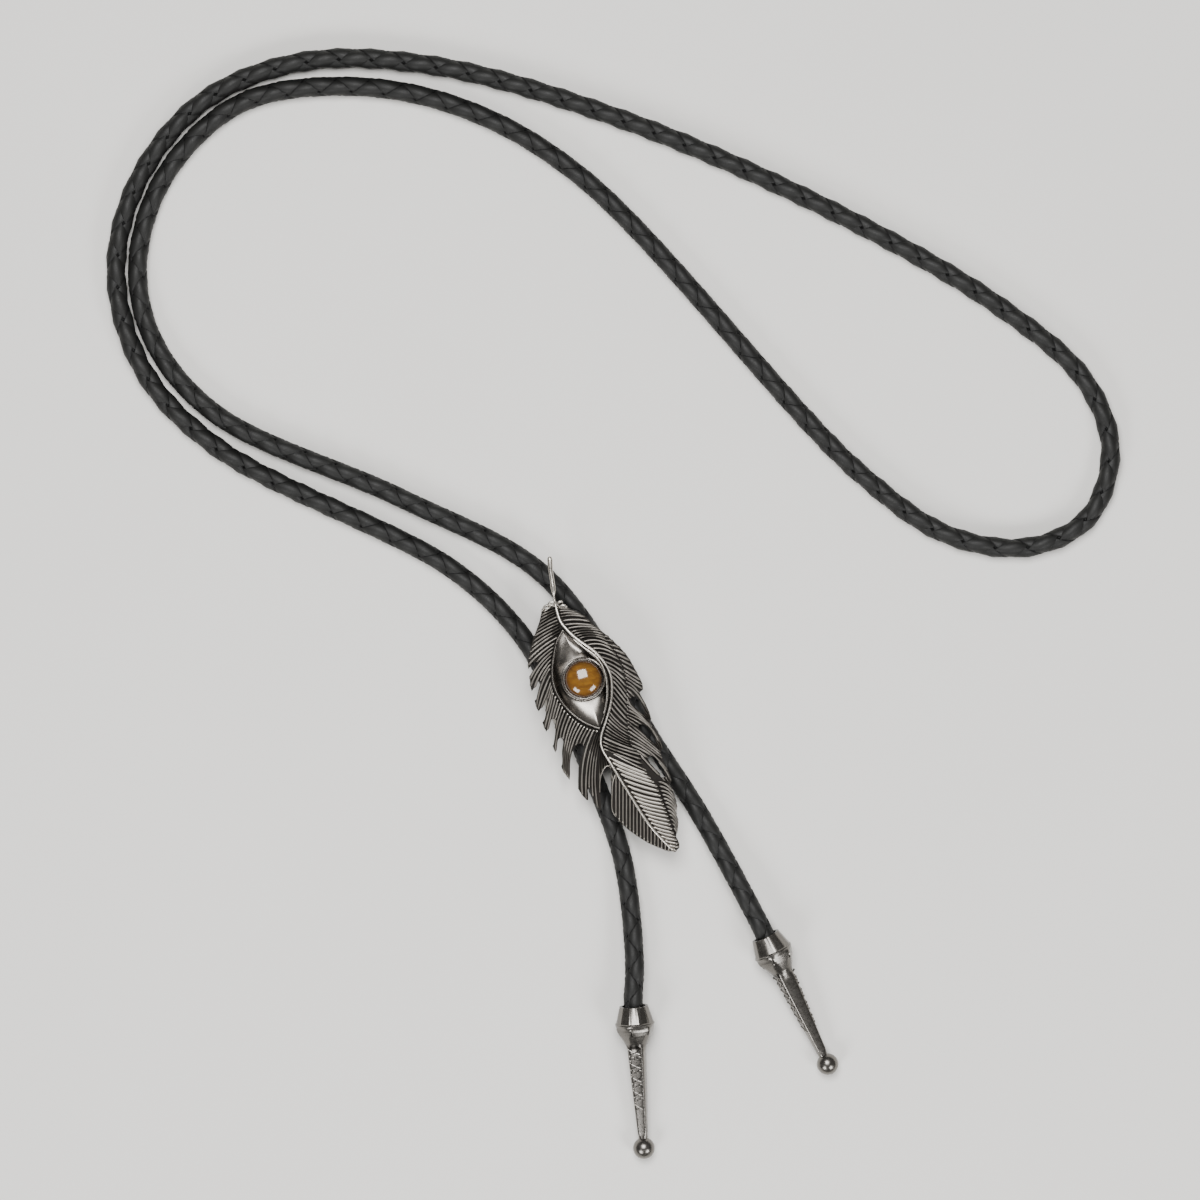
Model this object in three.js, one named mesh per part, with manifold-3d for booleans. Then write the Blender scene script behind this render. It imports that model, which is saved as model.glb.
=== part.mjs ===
// Bolo tie: a cast feather slide with a round cabochon, a back clasp that grips both strands of one
// braided leather cord, and a cast metal tip on each end of the cord. It lies face up on z = 0.
// Millimetres, +Z up. The origin is on the clasp's flat underside, midway between its channels, +Y
// points to the feather's quill end of the surface that the tie lies on, and +X to its right.
import * as THREE from 'three';
import { mergeVertices } from 'three/addons/utils/BufferGeometryUtils.js';
import Module from 'manifold-3d';

const wasm = await Module();
wasm.setup();

// ---------------------------------------------------------------- driving dimensions

const GAP = 0.3; // between two pieces that touch

const CORD_DIAMETER = 4.4;
const CORD_SIDES = 10;
const CORD_STEPS = 80;

const CLASP = { length: 8, ahead: 3, wall: 0.9, cordSpacing: 13.1, turn: -61.65 };

const VANE_THICKNESS = 1.3;
const OVERLAY_THICKNESS = 1.1;
const FUSE = 0.2; // how far one part of a casting reaches into the next
const EYE = { rim: 2.5, floor: 1.1 }; // heights above the back of the casting
const BEZEL = { x: -3.1, y: 5.9, outer: 4.65, inner: 4.27, height: 2.6 };
const STONE = { radius: 3.97, girdle: 0.8, dome: 1.9 };
const RACHIS_RADIUS = 0.35;
const TUFT_RADIUS = 0.4;
const QUILL = { from: [-9.0, 21.4], to: [-10.1, 31.0], thin: 0.4, thick: 0.6 };

const TIP = {
  mouthRadius: 3.05,
  socketDepth: 3.0,
  ringAt: 3.8,
  ringRadius: 4.2,
  ballAt: 30.4,
  ballRadius: 2.3,
  facets: 12,
};
const TIPS = [
  { name: 'tip_left', mouth: [7.5, -63.2], ball: [9.7, -93.5] },
  { name: 'tip_right', mouth: [35.3, -48.4], ball: [48.7, -76.0] },
];

// ---------------------------------------------------------------- derived heights and angles

const CORD_RADIUS = CORD_DIAMETER / 2;
const CHANNEL_RADIUS = CORD_RADIUS + GAP;
const CLASP_HEIGHT = 2 * (CHANNEL_RADIUS + CLASP.wall);
const CLASPED = CLASP_HEIGHT / 2; // height of the cord's middle inside the clasp
const LYING = CORD_RADIUS; // height of the cord's middle where it lies flat
const BACK = CLASP_HEIGHT + GAP; // height of the casting's back
const VANE_TOP = BACK + VANE_THICKNESS;

// A tip lies on its widest ring and on its ball, so its axis slopes down from its mouth.
const RING_TO_BALL = TIP.ballAt - TIP.ringAt;
const TIP_PITCH =
  Math.acos(TIP.ballRadius / Math.hypot(TIP.ringRadius, RING_TO_BALL)) -
  Math.atan2(RING_TO_BALL, TIP.ringRadius);
const TIP_LIFT = 0.02;
const MOUTH_HEIGHT = TIP.ballRadius + TIP.ballAt * Math.sin(TIP_PITCH) + TIP_LIFT;

// ---------------------------------------------------------------- hand-set curves

// The cord's middle line, from inside the left tip, through the clasp's left channel, round the
// left bend, out along the upper long run, round the right bend, back along the lower long run,
// round the left bend again inside the first turn, and through the right channel to the right tip.
const ROUTE = [
  [7.7, -65.6, MOUTH_HEIGHT - 0.2],
  [7.4, -61.9, MOUTH_HEIGHT + 0.1],
  [7.7, -54.3, 4.2],
  [5.1, -32.0, LYING],
  [-3.0, -10.0, 3.3],
  [-5.2, -4.3, CLASPED],
  [-10.0, 4.8, CLASPED],
  [-17.3, 16.5, LYING],
  [-31.4, 29.4, LYING],
  [-80.9, 55.0, LYING],
  [-96.2, 71.1, LYING],
  [-102.0, 91.4, LYING],
  [-97.5, 110.9, LYING],
  [-83.9, 127.8, LYING],
  [-63.2, 136.3, LYING],
  [-35.6, 135.7, LYING],
  [4.8, 124.3, LYING],
  [51.4, 103.9, LYING],
  [85.2, 84.4, LYING],
  [103.0, 68.9, LYING],
  [108.4, 54.3, LYING],
  [103.9, 40.2, LYING],
  [91.6, 33.8, LYING],
  [74.5, 36.1, LYING],
  [55.3, 49.4, LYING],
  [-3.9, 112.3, LYING],
  [-29.3, 126.8, LYING],
  [-53.6, 131.2, LYING],
  [-76.0, 127.4, LYING],
  [-91.6, 112.4, LYING],
  [-97.4, 94.1, LYING],
  [-94.2, 77.6, LYING],
  [-81.1, 62.0, LYING],
  [-42.0, 44.2, LYING],
  [-12.8, 28.9, LYING],
  [1.5, 11.0, CLASPED],
  [10.0, -4.8, CLASPED],
  [21.4, -22.6, LYING],
  [34.0, -45.7, MOUTH_HEIGHT + 0.2],
  [36.3, -50.5, MOUTH_HEIGHT - 0.2],
];

// The vane's outer edge, from the quill down the left side, round the tip and back up the right.
const VANE_EDGE = [
  [-9.2, 21.4], [-10.6, 21.0], [-11.9, 20.1], [-12.3, 18.1], [-13.0, 16.1], [-13.8, 14.0],
  [-14.3, 12.0], [-14.7, 10.0], [-14.8, 8.8], [-14.5, 6.4], [-14.2, 4.0], [-13.4, 1.4],
  [-12.9, -0.4], [-12.4, -1.1], [-11.9, -2.8], [-11.3, -4.5], [-10.9, -5.2], [-9.9, -7.4],
  [-9.1, -9.4], [-8.2, -11.6], [-7.3, -13.7], [-6.6, -14.6], [-6.0, -15.4], [-4.6, -16.6],
  [-4.0, -17.6], [-3.2, -18.8], [-2.4, -19.6], [-1.2, -19.8], [-0.5, -20.6], [0.1, -21.5],
  [0.7, -21.8], [3.0, -21.9], [3.6, -22.4], [5.5, -24.6], [8.7, -27.2], [12.3, -29.0],
  [15.6, -30.0], [16.6, -29.4], [16.4, -27.5], [16.7, -25.6], [16.8, -24.4], [16.5, -23.0],
  [16.4, -22.0], [16.7, -21.0], [16.4, -19.8], [16.0, -18.3], [15.5, -17.2], [15.0, -16.4],
  [15.4, -15.8], [15.2, -14.4], [14.6, -13.0], [13.9, -11.7], [13.6, -10.8], [13.1, -9.3],
  [13.6, -8.9], [13.4, -7.4], [12.7, -5.8], [11.8, -4.3], [10.9, -3.1], [11.2, -2.5],
  [10.8, -1.1], [10.1, 0.5], [9.3, 1.9], [8.7, 3.0], [9.5, 3.7], [9.3, 5.0], [8.5, 6.6],
  [7.7, 8.1], [7.0, 9.4], [6.2, 10.7], [5.1, 12.0], [3.7, 13.4], [2.2, 14.8], [0.7, 16.0],
  [-0.9, 17.3], [-2.3, 18.7], [-4.2, 19.9], [-6.3, 20.7], [-8.0, 21.2],
];
// Gaps between the barbs: eight are open at the vane's edge, and three are closed eyelets.
const VANE_GAPS = [
  [[-12.8, 9.2], [-13.5, 9.5], [-14.4, 8.3], [-15.6, 6.8], [-14.6, 6.4], [-13.5, 7.8]],
  [[-12.0, 5.2], [-12.6, 5.3], [-13.5, 3.9], [-14.8, 1.8], [-13.4, 1.3], [-12.4, 3.2]],
  [[-10.7, 2.0], [-11.3, 1.4], [-12.0, -0.2], [-12.8, -1.6], [-12.0, -3.4], [-11.3, -2.6],
    [-10.8, 0.2]],
  [[-9.2, -2.5], [-10.0, -2.8], [-10.5, -4.4], [-11.0, -6.0], [-9.6, -8.2], [-9.2, -6.8],
    [-8.9, -4.2], [-8.8, -3.0]],
  [[-7.9, -6.5], [-8.5, -7.0], [-8.8, -8.6], [-9.0, -10.4], [-8.3, -12.6], [-7.7, -12.4],
    [-7.6, -9.4], [-7.4, -7.0]],
  [[-4.1, -7.8], [-4.9, -8.3], [-5.6, -10.0], [-5.9, -12.0], [-5.9, -14.5], [-6.1, -17.5],
    [-4.5, -18.0], [-4.2, -15.0], [-4.1, -12.6], [-3.5, -10.6], [-3.0, -8.7], [-3.4, -7.9]],
  [[-1.4, -17.2], [-2.1, -17.3], [-2.1, -18.6], [-1.9, -20.8], [-0.9, -20.6], [-1.1, -18.8]],
  [[2.0, -12.7], [1.1, -13.4], [0.6, -15.2], [0.4, -17.6], [0.6, -20.0], [0.9, -23.0],
    [2.8, -24.0], [2.75, -20.0], [2.75, -16.4], [2.9, -14.2], [2.7, -13.1]],
  [[7.4, 2.2], [6.8, 1.6], [7.5, 0.1], [8.5, -0.9], [9.5, -1.6], [9.8, -1.3], [9.3, 0.3],
    [8.3, 1.8]],
  [[8.9, -3.7], [8.5, -4.3], [9.3, -5.2], [10.4, -6.3], [11.9, -7.7], [12.2, -7.3],
    [11.5, -5.7], [10.2, -4.1]],
  [[11.0, -10.2], [10.5, -11.0], [11.2, -12.2], [12.3, -13.4], [13.5, -14.9], [14.1, -14.6],
    [13.4, -12.7], [12.2, -10.9]],
];

// The almond round the stone: its outer edge runs down the left side; the rachis closes the right.
const EYE_LEFT = [
  [-7.6, 16.5], [-9.6, 10.8], [-9.8, 5.1], [-7.4, 0.2], [-2.8, -3.6], [0.6, -5.2],
];
const BOWL_LEFT = [[-6.6, 14.6], [-8.7, 10.8], [-8.5, 4.9], [-5.7, 0.0], [-0.2, -4.0]];
const BOWL_RIGHT = [[-0.2, -4.0], [1.9, 1.7], [1.5, 7.4], [-1.6, 11.2], [-6.6, 14.6]];

// Shafts: each row is a point of the shaft's middle line, with its height over the vane.
const RACHIS = [
  [-9.0, 21.8, 0.2], [-7.8, 17.8, 0.2], [-5.9, 15.5, 0.6], [-1.1, 11.9, 0.9], [2.5, 7.0, 0.9],
  [2.5, 0.2, 0.8], [0.7, -5.9, 0.5], [0.6, -8.3, 0.7],
];
const LOWER_RACHIS = [
  [0.6, -8.3, 0.7], [3.2, -12.1, 1.1], [6.8, -18.7, 1.1], [11.4, -25.0, 1.1], [15.8, -30.0, 1.0],
];
const LEFT_TUFT = [[-8.8, 21.2, 0.3], [-10.0, 22.0, 0.3], [-11.0, 21.2, 0.2], [-11.8, 20.2, 0.1]];
const RIGHT_TUFT = [[-8.8, 21.4, 0.3], [-7.8, 22.0, 0.3], [-6.9, 21.2, 0.2]];

const OVERLAY_RIGHT = [
  [0.7, -8.6], [3.4, -9.9], [7.5, -12.0], [10.0, -13.2], [12.1, -15.6], [13.4, -19.0],
  [15.3, -24.2], [17.1, -28.7], [15.9, -30.4],
];
const OVERLAY_LEFT = [
  [15.9, -30.4], [12.3, -29.4], [8.4, -27.3], [5.5, -25.0], [3.0, -22.0], [2.95, -18.0],
  [3.0, -13.8], [0.7, -8.6],
];

// ---------------------------------------------------------------- helpers

function solid(geometry) {
  const bare = geometry.index ? geometry.toNonIndexed() : geometry.clone();
  bare.deleteAttribute('normal');
  bare.deleteAttribute('uv');
  const merged = mergeVertices(bare, 1e-5);
  return new wasm.Manifold(
    new wasm.Mesh({
      numProp: 3,
      vertProperties: new Float32Array(merged.attributes.position.array),
      triVerts: new Uint32Array(merged.index.array),
    }),
  );
}

function geometryOf(manifold) {
  const mesh = manifold.getMesh();
  const geometry = new THREE.BufferGeometry();
  geometry.setAttribute('position', new THREE.BufferAttribute(mesh.vertProperties, 3));
  geometry.setIndex(new THREE.BufferAttribute(mesh.triVerts, 1));
  geometry.computeVertexNormals();
  return geometry;
}

function prism(points, bottom, top) {
  const shape = new THREE.Shape(points);
  const geometry = new THREE.ExtrudeGeometry(shape, { depth: top - bottom, bevelEnabled: false });
  return geometry.translate(0, 0, bottom);
}

function circle(radius, sides) {
  const points = [];
  for (let i = 0; i < sides; i += 1) {
    const angle = (2 * Math.PI * i) / sides;
    points.push(new THREE.Vector2(radius * Math.cos(angle), radius * Math.sin(angle)));
  }
  return points;
}

function tube(path, radius, sides, steps) {
  const shape = new THREE.Shape(circle(radius, sides));
  return new THREE.ExtrudeGeometry(shape, { steps, extrudePath: path });
}

// A smooth line through flat points, as the points that a prism's outline takes.
function smooth(points, perSpan) {
  const curve = new THREE.SplineCurve(points.map(([x, y]) => new THREE.Vector2(x, y)));
  return curve.getPoints((points.length - 1) * perSpan);
}

// ---------------------------------------------------------------- braided cord

class CordPath extends THREE.CatmullRomCurve3 {
  getPoint(t, target) {
    const point = super.getPoint(t, target);
    point.z = Math.max(point.z, LYING);
    return point;
  }
}

function makeCord() {
  const path = new CordPath(ROUTE.map(([x, y, z]) => new THREE.Vector3(x, y, z)));
  path.arcLengthDivisions = 20 * ROUTE.length;
  return tube(path, CORD_RADIUS, CORD_SIDES, CORD_STEPS);
}

// ---------------------------------------------------------------- back clasp

// One sleeve bent from strip: a flat top and bottom, round sides, and a channel for each strand.
function makeClasp() {
  const half = CLASP.cordSpacing / 2;
  const outer = CLASP_HEIGHT / 2;
  const ARC_STEPS = 16;
  const outline = [];
  for (const side of [1, -1]) {
    for (let i = 0; i <= ARC_STEPS; i += 1) {
      const angle = Math.PI * (i / ARC_STEPS - 0.5);
      const x = side * (half + outer * Math.cos(angle));
      outline.push(new THREE.Vector2(x, side * outer * Math.sin(angle)));
    }
  }
  let sleeve = solid(prism(outline, -CLASP.length / 2, CLASP.length / 2));
  for (const side of [-1, 1]) {
    const channel = new THREE.CylinderGeometry(CHANNEL_RADIUS, CHANNEL_RADIUS, CLASP.length + 2, 28);
    sleeve = sleeve.subtract(solid(channel.rotateX(Math.PI / 2).translate(side * half, 0, 0)));
  }
  const middle = 2 * (half - CHANNEL_RADIUS - CLASP.wall);
  const opening = new THREE.BoxGeometry(middle, 2 * (outer - CLASP.wall), CLASP.length + 2);
  const geometry = geometryOf(sleeve.subtract(solid(opening))).rotateX(Math.PI / 2);
  return geometry.translate(0, CLASP.ahead, 0);
}

// ---------------------------------------------------------------- cast feather

// The flat plate under the barbs, with every gap cut through it.
function makeVane() {
  let vane = solid(prism(VANE_EDGE.map(([x, y]) => new THREE.Vector2(x, y)), BACK, VANE_TOP));
  for (const gap of VANE_GAPS) {
    const edge = smooth([...gap, gap[0]], 3).slice(0, -1);
    vane = vane.subtract(solid(prism(edge, BACK - 1, VANE_TOP + 1)));
  }
  return vane;
}

function shaft(rows, radius) {
  const points = rows.map(([x, y, lift]) => new THREE.Vector3(x, y, VANE_TOP + lift));
  return tube(new THREE.CatmullRomCurve3(points), radius, 8, 4 * (rows.length - 1));
}

function makeQuill() {
  const from = new THREE.Vector3(...QUILL.from, VANE_TOP + 0.2);
  const to = new THREE.Vector3(...QUILL.to, VANE_TOP + 0.4);
  const length = from.distanceTo(to);
  const rod = solid(new THREE.CylinderGeometry(QUILL.thick, QUILL.thin, length, 12));
  const end = solid(new THREE.SphereGeometry(QUILL.thick, 12, 8).translate(0, length / 2, 0));
  const turn = new THREE.Quaternion().setFromUnitVectors(
    new THREE.Vector3(0, 1, 0),
    to.clone().sub(from).normalize(),
  );
  const geometry = geometryOf(rod.add(end)).applyQuaternion(turn);
  return geometry.translate(...from.add(to).multiplyScalar(0.5).toArray());
}

function makeBezel() {
  const { outer, inner, height } = BEZEL;
  const bottom = EYE.floor - FUSE;
  const profile = [
    [inner, bottom],
    [outer, bottom],
    [outer, height - 0.2],
    [outer - 0.1, height],
    [inner, height],
    [inner, bottom],
  ].map(([r, z]) => new THREE.Vector2(r, z));
  const ring = new THREE.LatheGeometry(profile, 48).rotateX(Math.PI / 2);
  return ring.translate(BEZEL.x, BEZEL.y, BACK);
}

function makeCasting() {
  const rachisSide = smooth(RACHIS.slice(1, -1).reverse(), 5);
  const almond = [...smooth(EYE_LEFT, 5), ...rachisSide];
  const eye = prism(almond, BACK, BACK + EYE.rim);
  const pocket = [...smooth(BOWL_LEFT, 6), ...smooth(BOWL_RIGHT, 6).slice(1, -1)];
  const bowl = prism(pocket, BACK + EYE.floor, BACK + 2 * EYE.rim);
  const overlayEdge = [...smooth(OVERLAY_RIGHT, 4), ...smooth(OVERLAY_LEFT, 4).slice(1, -1)];
  const overlay = prism(overlayEdge, VANE_TOP - FUSE, VANE_TOP + OVERLAY_THICKNESS);
  let casting = makeVane().add(solid(eye)).subtract(solid(bowl));
  const raised = [
    overlay,
    makeBezel(),
    shaft(RACHIS, RACHIS_RADIUS),
    shaft(LOWER_RACHIS, RACHIS_RADIUS),
    shaft(LEFT_TUFT, TUFT_RADIUS),
    shaft(RIGHT_TUFT, TUFT_RADIUS),
    makeQuill(),
  ];
  for (const geometry of raised) casting = casting.add(solid(geometry));
  return geometryOf(casting);
}

// ---------------------------------------------------------------- cabochon

function makeStone() {
  const { radius, girdle, dome } = STONE;
  const ROWS = 7;
  const profile = [new THREE.Vector2(0, 0), new THREE.Vector2(radius, 0)];
  for (let i = 0; i <= ROWS; i += 1) {
    const angle = (Math.PI / 2) * (i / ROWS);
    const r = i === ROWS ? 0 : radius * Math.cos(angle);
    profile.push(new THREE.Vector2(r, girdle + dome * Math.sin(angle)));
  }
  const geometry = new THREE.LatheGeometry(profile, 36).rotateX(Math.PI / 2);
  return geometry.translate(BEZEL.x, BEZEL.y, BACK + EYE.floor + GAP);
}

// ---------------------------------------------------------------- cord tips

// Local X runs from the mouth to the ball: a faceted collar and cup, a flat-sided stem, a ball.
function makeTip() {
  const { mouthRadius, socketDepth, ringAt, ringRadius, ballAt, ballRadius, facets } = TIP;
  const socket = CORD_RADIUS + GAP;
  const profile = [
    [0, socketDepth],
    [socket, socketDepth],
    [socket, 0],
    [mouthRadius, 0],
    [ringRadius, ringAt],
    [3.9, 4.9],
    [3.4, 6.4],
    [2.6, 8.0],
    [1.8, 10.0],
    [0, 10.0],
  ].map(([r, x]) => new THREE.Vector2(r, x));
  const collar = new THREE.LatheGeometry(profile, facets).rotateZ(-Math.PI / 2);
  const STEM = { from: 8.0, to: ballAt, thick: 1.75, thin: 0.95 };
  const length = STEM.to - STEM.from;
  const stem = new THREE.CylinderGeometry(STEM.thin, STEM.thick, length, 8);
  stem.rotateY(Math.PI / 8).rotateZ(-Math.PI / 2).translate(STEM.from + length / 2, 0, 0);
  const ball = new THREE.SphereGeometry(ballRadius, 20, 12).translate(ballAt, 0, 0);
  return geometryOf(solid(collar).add(solid(stem)).add(solid(ball)));
}

// ---------------------------------------------------------------- scene graph

const METAL = { color: 0x6f6a66, roughness: 0.35, metalness: 1 };

function piece(name, geometry, material) {
  const mesh = new THREE.Mesh(geometry, new THREE.MeshStandardMaterial(material));
  mesh.name = name;
  return mesh;
}

const group = new THREE.Group();
group.add(piece('cord', makeCord(), { color: 0x26282a, roughness: 0.7, metalness: 0 }));
group.add(piece('feather', makeCasting(), METAL));
group.add(piece('stone', makeStone(), { color: 0x8f5214, roughness: 0.15, metalness: 0 }));

const clasp = piece('back_clasp', makeClasp(), METAL);
const claspPlace = new THREE.Group();
claspPlace.position.z = CLASPED;
claspPlace.rotation.z = THREE.MathUtils.degToRad(CLASP.turn + 90);
claspPlace.add(clasp);
group.add(claspPlace);

for (const { name, mouth, ball } of TIPS) {
  const place = new THREE.Group();
  place.position.set(mouth[0], mouth[1], MOUTH_HEIGHT);
  place.rotation.z = Math.atan2(ball[1] - mouth[1], ball[0] - mouth[0]);
  const tip = piece(name, makeTip(), METAL);
  tip.rotation.y = TIP_PITCH;
  place.add(tip);
  group.add(place);
}

export default group;
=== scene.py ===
"""Bolo tie: a braided leather cord, a cast feather slide with a cabochon, a back clasp and two tips.

Metres, +Z up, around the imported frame. Tables of plan points are in millimetres and are scaled once.
"""

import math
import random

import bpy
import numpy as np
from mathutils import Matrix, Vector
from mathutils.geometry import delaunay_2d_cdt


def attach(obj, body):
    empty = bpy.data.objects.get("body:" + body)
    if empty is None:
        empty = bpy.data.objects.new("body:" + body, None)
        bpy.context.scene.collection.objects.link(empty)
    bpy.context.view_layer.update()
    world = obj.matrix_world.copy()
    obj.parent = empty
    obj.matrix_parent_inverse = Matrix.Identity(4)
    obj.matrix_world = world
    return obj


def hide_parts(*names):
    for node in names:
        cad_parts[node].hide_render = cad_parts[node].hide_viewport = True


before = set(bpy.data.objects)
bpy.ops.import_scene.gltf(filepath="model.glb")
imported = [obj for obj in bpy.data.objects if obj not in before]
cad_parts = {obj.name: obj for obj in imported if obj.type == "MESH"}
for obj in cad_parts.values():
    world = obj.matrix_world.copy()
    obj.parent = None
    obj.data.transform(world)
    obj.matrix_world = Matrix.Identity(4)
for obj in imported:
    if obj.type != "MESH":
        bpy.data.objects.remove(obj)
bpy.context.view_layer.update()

bl_info = {
    "name": "Bolo Tie",
    "version": (1, 0, 0),
    "blender": (4, 5, 0),
    "location": "3D View > Sidebar > Bolo Tie",
    "description": "Builds a bolo tie with a braided cord, a cast feather slide and metal tips",
    "category": "Add Mesh",
}

MM = 0.001
BODY = "root"

# ------------------------------------------------------------------ listed curves

# Heights of the cord's middle line, in metres: lying flat, inside the clasp, at a tip's mouth.
LYING, CLASPED, MOUTH = 0.0022, 0.0034, 0.00448

# The cord's middle line in metres, from inside the left tip to inside the right tip.
CORD_ROUTE = [
    (0.0077, -0.0656, MOUTH - 0.0002),
    (0.0074, -0.0619, MOUTH + 0.0001),
    (0.0077, -0.0543, 0.0042),
    (0.0051, -0.0320, LYING),
    (-0.0030, -0.0100, 0.0033),
    (-0.0052, -0.0043, CLASPED),
    (-0.0100, 0.0048, CLASPED),
    (-0.0173, 0.0165, LYING),
    (-0.0314, 0.0294, LYING),
    (-0.0809, 0.0550, LYING),
    (-0.0962, 0.0711, LYING),
    (-0.1020, 0.0914, LYING),
    (-0.0975, 0.1109, LYING),
    (-0.0839, 0.1278, LYING),
    (-0.0632, 0.1363, LYING),
    (-0.0356, 0.1357, LYING),
    (0.0048, 0.1243, LYING),
    (0.0514, 0.1039, LYING),
    (0.0852, 0.0844, LYING),
    (0.1030, 0.0689, LYING),
    (0.1084, 0.0543, LYING),
    (0.1039, 0.0402, LYING),
    (0.0916, 0.0338, LYING),
    (0.0745, 0.0361, LYING),
    (0.0553, 0.0494, LYING),
    (-0.0039, 0.1123, LYING),
    (-0.0293, 0.1268, LYING),
    (-0.0536, 0.1312, LYING),
    (-0.0760, 0.1274, LYING),
    (-0.0916, 0.1124, LYING),
    (-0.0974, 0.0941, LYING),
    (-0.0942, 0.0776, LYING),
    (-0.0811, 0.0620, LYING),
    (-0.0420, 0.0442, LYING),
    (-0.0128, 0.0289, LYING),
    (0.0015, 0.0110, CLASPED),
    (0.0100, -0.0048, CLASPED),
    (0.0214, -0.0226, LYING),
    (0.0340, -0.0457, MOUTH + 0.0002),
    (0.0363, -0.0505, MOUTH - 0.0002),
]

# How far the braid is rolled about its line, in eighths of a turn, at stations along the cord.
BRAID_ROLL = [(0.0, 1.0), (0.12, 1.0), (0.22, -0.35), (0.50, -0.35), (0.60, 1.0), (1.0, 1.0)]

# The vane's outer edge, from the quill down the left side, round the tip and back up the right.
VANE_EDGE = [
    (-9.2, 21.4), (-10.6, 21.0), (-11.9, 20.1), (-12.3, 18.1), (-13.0, 16.1), (-13.8, 14.0),
    (-14.3, 12.0), (-14.7, 10.0), (-14.8, 8.8), (-14.5, 6.4), (-14.2, 4.0), (-13.4, 1.4),
    (-12.9, -0.4), (-12.4, -1.1), (-11.9, -2.8), (-11.3, -4.5), (-10.9, -5.2), (-9.9, -7.4),
    (-9.1, -9.4), (-8.2, -11.6), (-7.3, -13.7), (-6.6, -14.6), (-6.0, -15.4), (-4.6, -16.6),
    (-4.0, -17.6), (-3.2, -18.8), (-2.4, -19.6), (-1.2, -19.8), (-0.5, -20.6), (0.1, -21.5),
    (0.7, -21.8), (3.0, -21.9), (3.6, -22.4), (5.5, -24.6), (8.7, -27.2), (12.3, -29.0),
    (15.6, -30.0), (16.6, -29.4), (16.4, -27.5), (16.7, -25.6), (16.8, -24.4), (16.5, -23.0),
    (16.4, -22.0), (16.7, -21.0), (16.4, -19.8), (16.0, -18.3), (15.5, -17.2), (15.0, -16.4),
    (15.4, -15.8), (15.2, -14.4), (14.6, -13.0), (13.9, -11.7), (13.6, -10.8), (13.1, -9.3),
    (13.6, -8.9), (13.4, -7.4), (12.7, -5.8), (11.8, -4.3), (10.9, -3.1), (11.2, -2.5),
    (10.8, -1.1), (10.1, 0.5), (9.3, 1.9), (8.7, 3.0), (9.5, 3.7), (9.3, 5.0), (8.5, 6.6),
    (7.7, 8.1), (7.0, 9.4), (6.2, 10.7), (5.1, 12.0), (3.7, 13.4), (2.2, 14.8), (0.7, 16.0),
    (-0.9, 17.3), (-2.3, 18.7), (-4.2, 19.9), (-6.3, 20.7), (-8.0, 21.2),
]
# Gaps between the barbs: eight are open at the vane's edge, and three are closed eyelets.
VANE_GAPS = [
    [(-12.8, 9.2), (-13.5, 9.5), (-14.4, 8.3), (-15.6, 6.8), (-14.6, 6.4), (-13.5, 7.8)],
    [(-12.0, 5.2), (-12.6, 5.3), (-13.5, 3.9), (-14.8, 1.8), (-13.4, 1.3), (-12.4, 3.2)],
    [(-10.7, 2.0), (-11.3, 1.4), (-12.0, -0.2), (-12.8, -1.6), (-12.0, -3.4), (-11.3, -2.6),
     (-10.8, 0.2)],
    [(-9.2, -2.5), (-10.0, -2.8), (-10.5, -4.4), (-11.0, -6.0), (-9.6, -8.2), (-9.2, -6.8),
     (-8.9, -4.2), (-8.8, -3.0)],
    [(-7.9, -6.5), (-8.5, -7.0), (-8.8, -8.6), (-9.0, -10.4), (-8.3, -12.6), (-7.7, -12.4),
     (-7.6, -9.4), (-7.4, -7.0)],
    [(-4.1, -7.8), (-4.9, -8.3), (-5.6, -10.0), (-5.9, -12.0), (-5.9, -14.5), (-6.1, -17.5),
     (-4.5, -18.0), (-4.2, -15.0), (-4.1, -12.6), (-3.5, -10.6), (-3.0, -8.7), (-3.4, -7.9)],
    [(-1.4, -17.2), (-2.1, -17.3), (-2.1, -18.6), (-1.9, -20.8), (-0.9, -20.6), (-1.1, -18.8)],
    [(2.0, -12.7), (1.1, -13.4), (0.6, -15.2), (0.4, -17.6), (0.6, -20.0), (0.9, -23.0),
     (2.8, -24.0), (2.75, -20.0), (2.75, -16.4), (2.9, -14.2), (2.7, -13.1)],
    [(7.4, 2.2), (6.8, 1.6), (7.5, 0.1), (8.5, -0.9), (9.5, -1.6), (9.8, -1.3), (9.3, 0.3),
     (8.3, 1.8)],
    [(8.9, -3.7), (8.5, -4.3), (9.3, -5.2), (10.4, -6.3), (11.9, -7.7), (12.2, -7.3),
     (11.5, -5.7), (10.2, -4.1)],
    [(11.0, -10.2), (10.5, -11.0), (11.2, -12.2), (12.3, -13.4), (13.5, -14.9), (14.1, -14.6),
     (13.4, -12.7), (12.2, -10.9)],
]

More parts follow.
